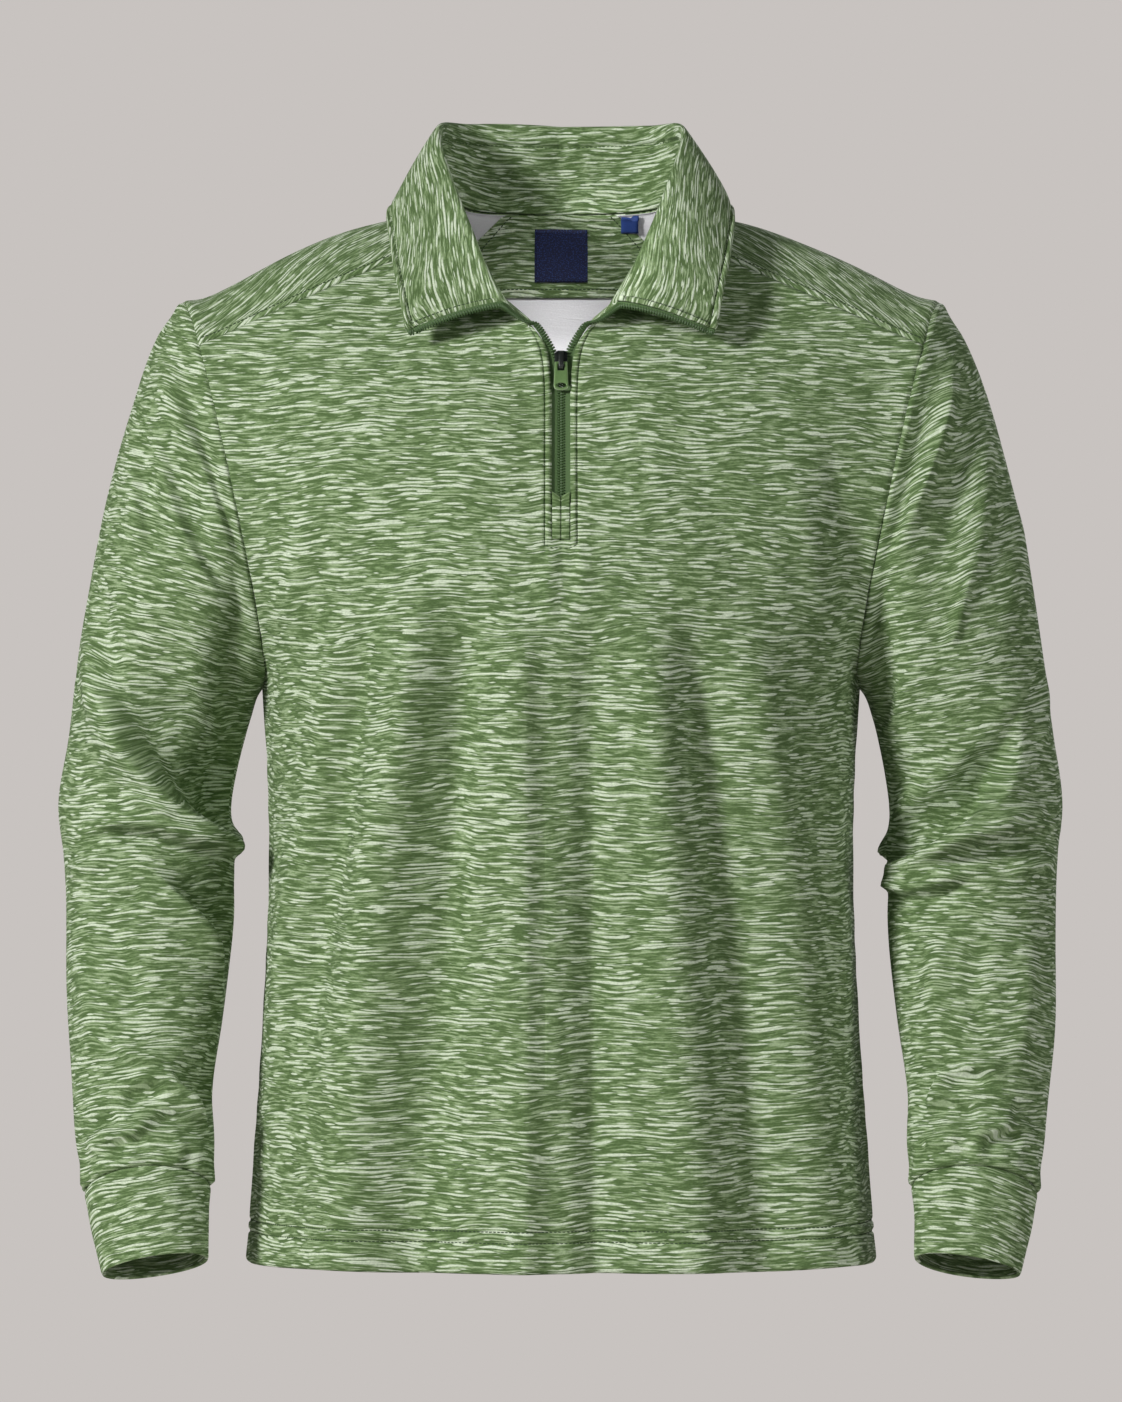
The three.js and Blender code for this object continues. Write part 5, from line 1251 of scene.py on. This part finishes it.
# The folded cloth that closes the slit below the zip, and the labels and patch behind the neck.
backTree = BVHTree.FromPolygons(
    [Vector(p) for p in back["grid"].reshape(-1, 3)],
    [(j * w + i, j * w + i + 1, (j + 1) * w + i + 1, (j + 1) * w + i)
     for w in (back["grid"].shape[1],) for j in range(len(back["rows"]) - 1) for i in range(w - 1)])


def underBack(x, z, depth):
    below = 0
    hit = None
    while hit is None:
        hit, normal, _, _ = backTree.ray_cast(Vector((x, -20, z - below)), Vector((0, 1, 0)))
        below += 0.5
    if normal.y < 0:
        normal = -normal
    return np.array(hit) - np.array(normal) * depth + [0, 0, max(0, below - 0.5)]


def layOnBack(levels, rows, columns, middle, depth):
    levels = sorted(levels)
    heights = np.linspace(levels[0][0], levels[-1][0], rows)
    halves = np.interp(heights, [z for z, _ in levels], [w for _, w in levels])
    grid = np.array([[underBack(middle + half * u, z, depth) for u in np.linspace(-1, 1, columns)]
                     for z, half in zip(heights, halves)])
    across = np.linspace(-1, 1, columns)
    uv = np.stack(np.broadcast_arrays(halves[:, None] * across[None], heights[:, None]), -1) * 1e-3
    normals = gridNormals(grid)
    flip = np.sign(normals[rows // 2, columns // 2, 1])
    return {"grid": grid, "uv": uv, "normals": normals * flip, "rows": np.arange(rows, dtype=float),
            "columns": np.arange(columns, dtype=float)}


patchDepth = wall["knit"] + layerGap + wall["knit"]
onPatch = patchDepth + 1.5 * layerGap + wall["label"]
patch = layOnBack([(-4.4, 38), (-27, 62), (-40, 66), (-61, 66)], 31, 41, 0, patchDepth)
label = layOnBack([(-14.5, 18.5), (-49.5, 18.5)], 19, 19, 0, onPatch)
tab = layOnBack([(-4.6, 6), (-16.5, 6)], 9, 7, 48, onPatch)
for sheet in (patch, label, tab):
    left, right, low, high = edgeDistances(sheet["grid"])
    edge = np.minimum(np.minimum(left, right), np.minimum(low, high))
    sheet["grid"] = sheet["grid"] + sheet["normals"] * (0.25 * np.exp(-((edge / 0.7) ** 2)))[..., None]
patchPiece = gridPiece("patch_cloth", patch, [knitCloth["trim"]], wall["knit"],
                       replaces=["locker_patch"])
labelPiece = gridPiece("label_cloth", label, [navyWeave], wall["label"],
                       replaces=["neck_label"])
tabPiece = gridPiece("tab_cloth", tab, [blueWeave], wall["label"], replaces=["size_tab"])


def makeZipEnd(side):
    # one folded strip beside the middle, standing a little proud below the teeth
    u = np.linspace(0, 1, 9)
    v = np.linspace(0, 1, 17)
    low = zipBottomRow
    path = np.array([onSheet(front, low + 0.02 + 0.98 * t, 13)[0] for t in v])
    grid = []
    for t, p in zip(v, path):
        row = []
        for s in u:
            x = 0.2 + (zipHalfGap - 0.55) * s
            round_ = 0.5 * math.sin(math.pi * s) ** 0.6
            row.append((x, p[1] - 0.3 - round_, p[2] + 0.55 * (x - 0.2) * smooth(t, 0.7, 1)))
        grid.append(row)
    grid = np.array(grid, float)
    uv = np.stack(np.broadcast_arrays(u[None] * 0.0056, v[:, None] * 0.03), -1)
    sheet = {"grid": grid, "uv": uv + 0.4}
    return sheet if side == "left" else flipped(sheet)


for side in ("left", "right"):
    gridPiece(f"{side}_zip_end", makeZipEnd(side), [knitCloth["trim"]], wall["knit"] - 0.1,
              replaces=["zip_end_" + side])

zipPlace = Matrix.Translation((0, -92.7, -114.5)) @ Matrix.Rotation(math.radians(-18), 4, "X")
slider = {"halfLength": 7.3, "halfWidth": 4.3, "wing": 0.9, "frontWing": -2.6, "backWing": 2.4,
          "bridgeHalfWidth": 1.6, "bridgeOuter": -6.4, "bridgeInner": -5.2}
pull = {"thickness": 1.3, "axisY": -3.9, "axisZ": -2, "barHalf": 0.8, "bottom": -21.7, "topHalf": 4.2,
        "bottomHalf": 4.9, "slotHalf": 2.3, "slotBottom": -7.5, "eyeZ": -18, "eyeHalf": 3.5, "eyeTall": 1.7}


def curveThrough(points, steps=5):
    # an outline of straight runs and round corners: (x, z), or (corner x, corner z, x, z)
    line = []
    for p in points:
        if len(p) == 2:
            line.append(p)
            continue
        start = line[-1]
        for k in range(1, steps + 1):
            t = k / steps
            line.append(tuple((1 - t) ** 2 * start[a] + 2 * t * (1 - t) * p[a] + t * t * p[2 + a] for a in (0, 1)))
    return line


def bevelledPlate(outline, holes, y, thickness, bevel, place):
    # a plate with its edges rounded, drawn in x and z
    shape = bmesh.new()
    loops = []
    for line in [outline, *holes]:
        verts = [shape.verts.new((x, 0, z)) for x, z in line]
        loops += [shape.edges.new((verts[k - 1], verts[k])) for k in range(len(verts))]
    filled = bmesh.ops.triangle_fill(shape, edges=loops, use_beauty=True)
    faces = [f for f in filled["geom"] if isinstance(f, bmesh.types.BMFace)]
    bmesh.ops.recalc_face_normals(shape, faces=faces)
    made = bmesh.ops.extrude_face_region(shape, geom=faces)
    moved = [v for v in made["geom"] if isinstance(v, bmesh.types.BMVert)]
    bmesh.ops.translate(shape, verts=moved, vec=(0, thickness, 0))
    bmesh.ops.recalc_face_normals(shape, faces=shape.faces)
    rim = [e for e in shape.edges if len(e.link_faces) == 2 and e.calc_face_angle(0) > 1.2
           and abs(e.verts[0].co.y - e.verts[1].co.y) < 1e-6]
    bmesh.ops.bevel(shape, geom=rim, offset=bevel, segments=2, profile=0.5, affect="EDGES", material=-1)
    bmesh.ops.translate(shape, verts=shape.verts, vec=(0, y, 0))
    bmesh.ops.transform(shape, matrix=place, verts=shape.verts)
    return shape


def joinShapes(name, shapes, material, body, replaces):
    mesh = bpy.data.meshes.new(name)
    whole = bmesh.new()
    for shape in shapes:
        part = bpy.data.meshes.new("part")
        shape.to_mesh(part)
        whole.from_mesh(part)
        bpy.data.meshes.remove(part)
        shape.free()
    bmesh.ops.scale(whole, vec=(1e-3, 1e-3, 1e-3), verts=whole.verts)
    whole.to_mesh(mesh)
    whole.free()
    mesh.shade_smooth()
    mesh.materials.append(material)
    piece = bpy.data.objects.new(name, mesh)
    bpy.context.scene.collection.objects.link(piece)
    return dress(piece, body, replaces)


half, width = slider["halfLength"], slider["halfWidth"]
wingLine = curveThrough([(-width * 0.72, -half), (width * 0.72, -half), (width, -half, width, -half + 2.4),
                         (width, half - 3), (width * 0.9, half, width * 0.35, half), (-width * 0.35, half),
                         (-width * 0.9, half, -width, half - 3), (-width, -half + 2.4),
                         (-width, -half, -width * 0.72, -half)])[:-1]
foot, outer, inner = slider["frontWing"] + 0.3, slider["bridgeOuter"], slider["bridgeInner"]
archLine = curveThrough([(6.4, foot), (6.2, outer, 2.6, outer), (-4, outer), (-6.7, outer, -6.9, foot),
                         (-5.6, foot), (-5.6, inner, -3.6, inner), (2, inner), (4.6, inner, 4.8, foot)])
# The arch is drawn along z and y, so x and z of the plate become z and y, and its thickness x.
archTurn = Matrix(((0, 1, 0, 0), (0, 0, 1, 0), (1, 0, 0, 0), (0, 0, 0, 1)))
bridgeWidth = slider["bridgeHalfWidth"]
sliderShapes = [bevelledPlate(wingLine, [], y, slider["wing"], 0.3, zipPlace)
                for y in (slider["frontWing"], slider["backWing"])]
sliderShapes.append(bevelledPlate(archLine, [], -bridgeWidth, 2 * bridgeWidth, 0.4, zipPlace @ archTurn))
postShape = bmesh.new()
bmesh.ops.create_cube(postShape, size=1, matrix=zipPlace @ Matrix.Translation((0, 0.3, half - 1.6))
                      @ Matrix.Diagonal((1.6, 4.6, 2.2, 1)))
sliderShapes.append(postShape)
for side in (-1, 1):
    for low, high in ((slider["frontWing"] + 0.4, -0.35), (wall["tape"] + 0.35, slider["backWing"] + 0.4)):
        flange = bmesh.new()
        bmesh.ops.create_cube(flange, size=1, matrix=zipPlace
                              @ Matrix.Translation((side * (width - 0.5), (low + high) / 2, -0.8))
                              @ Matrix.Diagonal((0.9, high - low, 9.6, 1)))
        sliderShapes.append(flange)
joinShapes("slider_body", sliderShapes, gunmetal, "garment", ["zip_slider"])

topHalf, bottomHalf, bar = pull["topHalf"], pull["bottomHalf"], pull["barHalf"]
bottom = pull["bottom"] - pull["axisZ"]
tabLine = curveThrough([(-topHalf + 0.8, bar), (-topHalf, bar, -topHalf, bar - 0.8),
                        (-bottomHalf, bottom + 3.4), (-bottomHalf, bottom, 0, bottom),
                        (bottomHalf, bottom, bottomHalf, bottom + 3.4), (topHalf, bar - 0.8),
                        (topHalf, bar, topHalf - 0.8, bar)])
slotLow = pull["slotBottom"] - pull["axisZ"]
slotLine = [(-pull["slotHalf"], -bar), (pull["slotHalf"], -bar), (pull["slotHalf"], slotLow),
            (-pull["slotHalf"], slotLow)]
eyeLine = [(pull["eyeHalf"] * math.cos(a), pull["eyeZ"] - pull["axisZ"] + pull["eyeTall"] * math.sin(a))
           for a in np.linspace(0, 2 * math.pi, 25)[:-1]]
tabPlace = zipPlace @ Matrix.Translation((0, pull["axisY"], pull["axisZ"]))
joinShapes("tab_plate", [bevelledPlate(tabLine, [slotLine, eyeLine], -pull["thickness"] / 2, pull["thickness"],
                                       0.35, tabPlace)], enamel, "pull_tab", ["pull_tab"])
say("zip made")

stitch = {"step": 2.9, "size": (2.4, 1.0, 0.6)}


def stitchLine(name, sheet, rowPlaces, columnPlaces, lift=0.12):
    points, normals = onSheet(sheet, rowPlaces, columnPlaces, lift)
    frames = stitchFrames(points, normals, stitch["step"], stitch["size"])
    return repeatShape(name, threadShape, frames, thread)


for name, sheet in (("front", front), ("back", back)):
    span = np.linspace(0.02, sheet["columns"][-1] - 0.02, 400)
    for k, height in enumerate(hemStitch["rows"]):
        stitchLine(f"{name}_hem_stitches_{k}", sheet, np.full(400, height / hemStitch["cell"]), span)
for k, c in enumerate(placketColumns):
    stitchLine(f"placket_stitches_{k}", front, np.linspace(placketEnd, 21.9, 200), np.full(200, c))
stitchLine("placket_end_stitches", front, np.full(60, placketEnd), np.linspace(*placketColumns, 60))
for k, (a, b) in enumerate(((0.1, 6.8), (19.2, 25.9))):
    stitchLine(f"shoulder_stitches_{k}", back, np.full(160, 25.86), np.linspace(a, b, 160))
leafRow = float(collarRows.index(("leaf", 0.92)))
standRow = float(collarRows.index(("stand", 0.81)))
stitchLine("leaf_stitches", collar, np.full(500, leafRow), np.linspace(0.2, 21.8, 500))
stitchLine("stand_stitches", collar, np.full(500, standRow), np.linspace(0.15, 21.85, 500))
for k, c in enumerate((0.2, 21.8)):
    stitchLine(f"leaf_side_stitches_{k}", collar, np.linspace(foldRow + 6, leafRow, 120), np.full(120, c))
patchRows = np.concatenate([np.linspace(29.6, 3.4, 60), np.full(80, 3.4), np.linspace(3.4, 29.6, 60)])
patchColumns = np.concatenate([np.full(60, 2.4), np.linspace(2.4, 37.6, 80), np.full(60, 37.6)])
stitchLine("patch_stitches", patch, patchRows, patchColumns, lift=-0.15)
say("stitches made")

scene = bpy.context.scene
scene.view_settings.view_transform = "Standard"


def plainMaterial(name, base, roughness):
    material, tree = newMaterial(name)
    return finish(tree, material, base, roughness)


floorShape = bmesh.new()
bmesh.ops.create_circle(floorShape, cap_ends=True, segments=64, radius=1.4,
                        matrix=Matrix.Translation((0, 0, -1.05)))
floorMesh = bpy.data.meshes.new("floor")
floorShape.to_mesh(floorMesh)
floorShape.free()
floorMesh.materials.append(plainMaterial("floor_paint", colour(214, 210, 206), 0.8))
floor = bpy.data.objects.new("floor", floorMesh)
scene.collection.objects.link(floor)

backdrop = {"seen": colour(200, 195, 192), "light": colour(214, 216, 222), "share": 0.13}
world = bpy.data.worlds.new("world")
scene.world = world
world.use_nodes = True
sky = world.node_tree
sky.nodes.clear()
seen = node(sky, "Background", {0: backdrop["seen"], 1: 1.0})
around = node(sky, "Background", {0: backdrop["light"], 1: backdrop["share"]})
chosen = node(sky, "MixShader", {0: node(sky, "LightPath").outputs["Is Camera Ray"], 1: around.outputs[0],
                                 2: seen.outputs[0]})
sky.links.new(chosen.outputs[0], node(sky, "OutputWorld").inputs["Surface"])

lights = {  # name: (place, aimed at, width, watts)
    "key": ((-3.15, -3.1, 1.15), (0, 0, -0.35), 0.9, 196),
    "fill": ((0.4, -4.6, 0.6), (0, 0, -0.3), 1.6, 9),
    "side": ((3.2, -2.0, 0.4), (0, 0, -0.3), 1.2, 33),
    "behind": ((1.2, 4.2, 1.4), (0, 0, -0.35), 1.6, 60),
}
for name, (place, aim, size, watts) in lights.items():
    lamp = bpy.data.lights.new(name, "AREA")
    lamp.shape, lamp.size, lamp.energy = "DISK", size, watts
    lampObject = bpy.data.objects.new(name, lamp)
    lampObject.location = place
    lampObject.rotation_euler = (Vector(aim) - Vector(place)).to_track_quat("-Z", "Y").to_euler()
    scene.collection.objects.link(lampObject)

# A narrow soft light down the opening of the neck.
neckLight = {"place": (0, -2.3, 0.9), "aim": (0.0, 0.1, -0.094), "cone": 2.7, "watts": 300}
spot = bpy.data.lights.new("neck", "SPOT")
spot.spot_size, spot.spot_blend, spot.energy = math.radians(neckLight["cone"]), 0.7, neckLight["watts"]
spot.shadow_soft_size = 0.05
spotObject = bpy.data.objects.new("neck", spot)
spotObject.location = neckLight["place"]
spotObject.rotation_euler = (Vector(neckLight["aim"]) - Vector(neckLight["place"])).to_track_quat("-Z", "Y").to_euler()
scene.collection.objects.link(spotObject)

camera = bpy.data.cameras.new("camera")
camera.sensor_fit, camera.sensor_height, camera.lens = "VERTICAL", 36, 188.8
cameraObject = bpy.data.objects.new("camera", camera)
cameraObject.location = (0, -5, -0.3407)
cameraObject.rotation_euler = (math.pi / 2, 0, 0)
scene.collection.objects.link(cameraObject)
scene.camera = cameraObject

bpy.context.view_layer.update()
say("scene done")
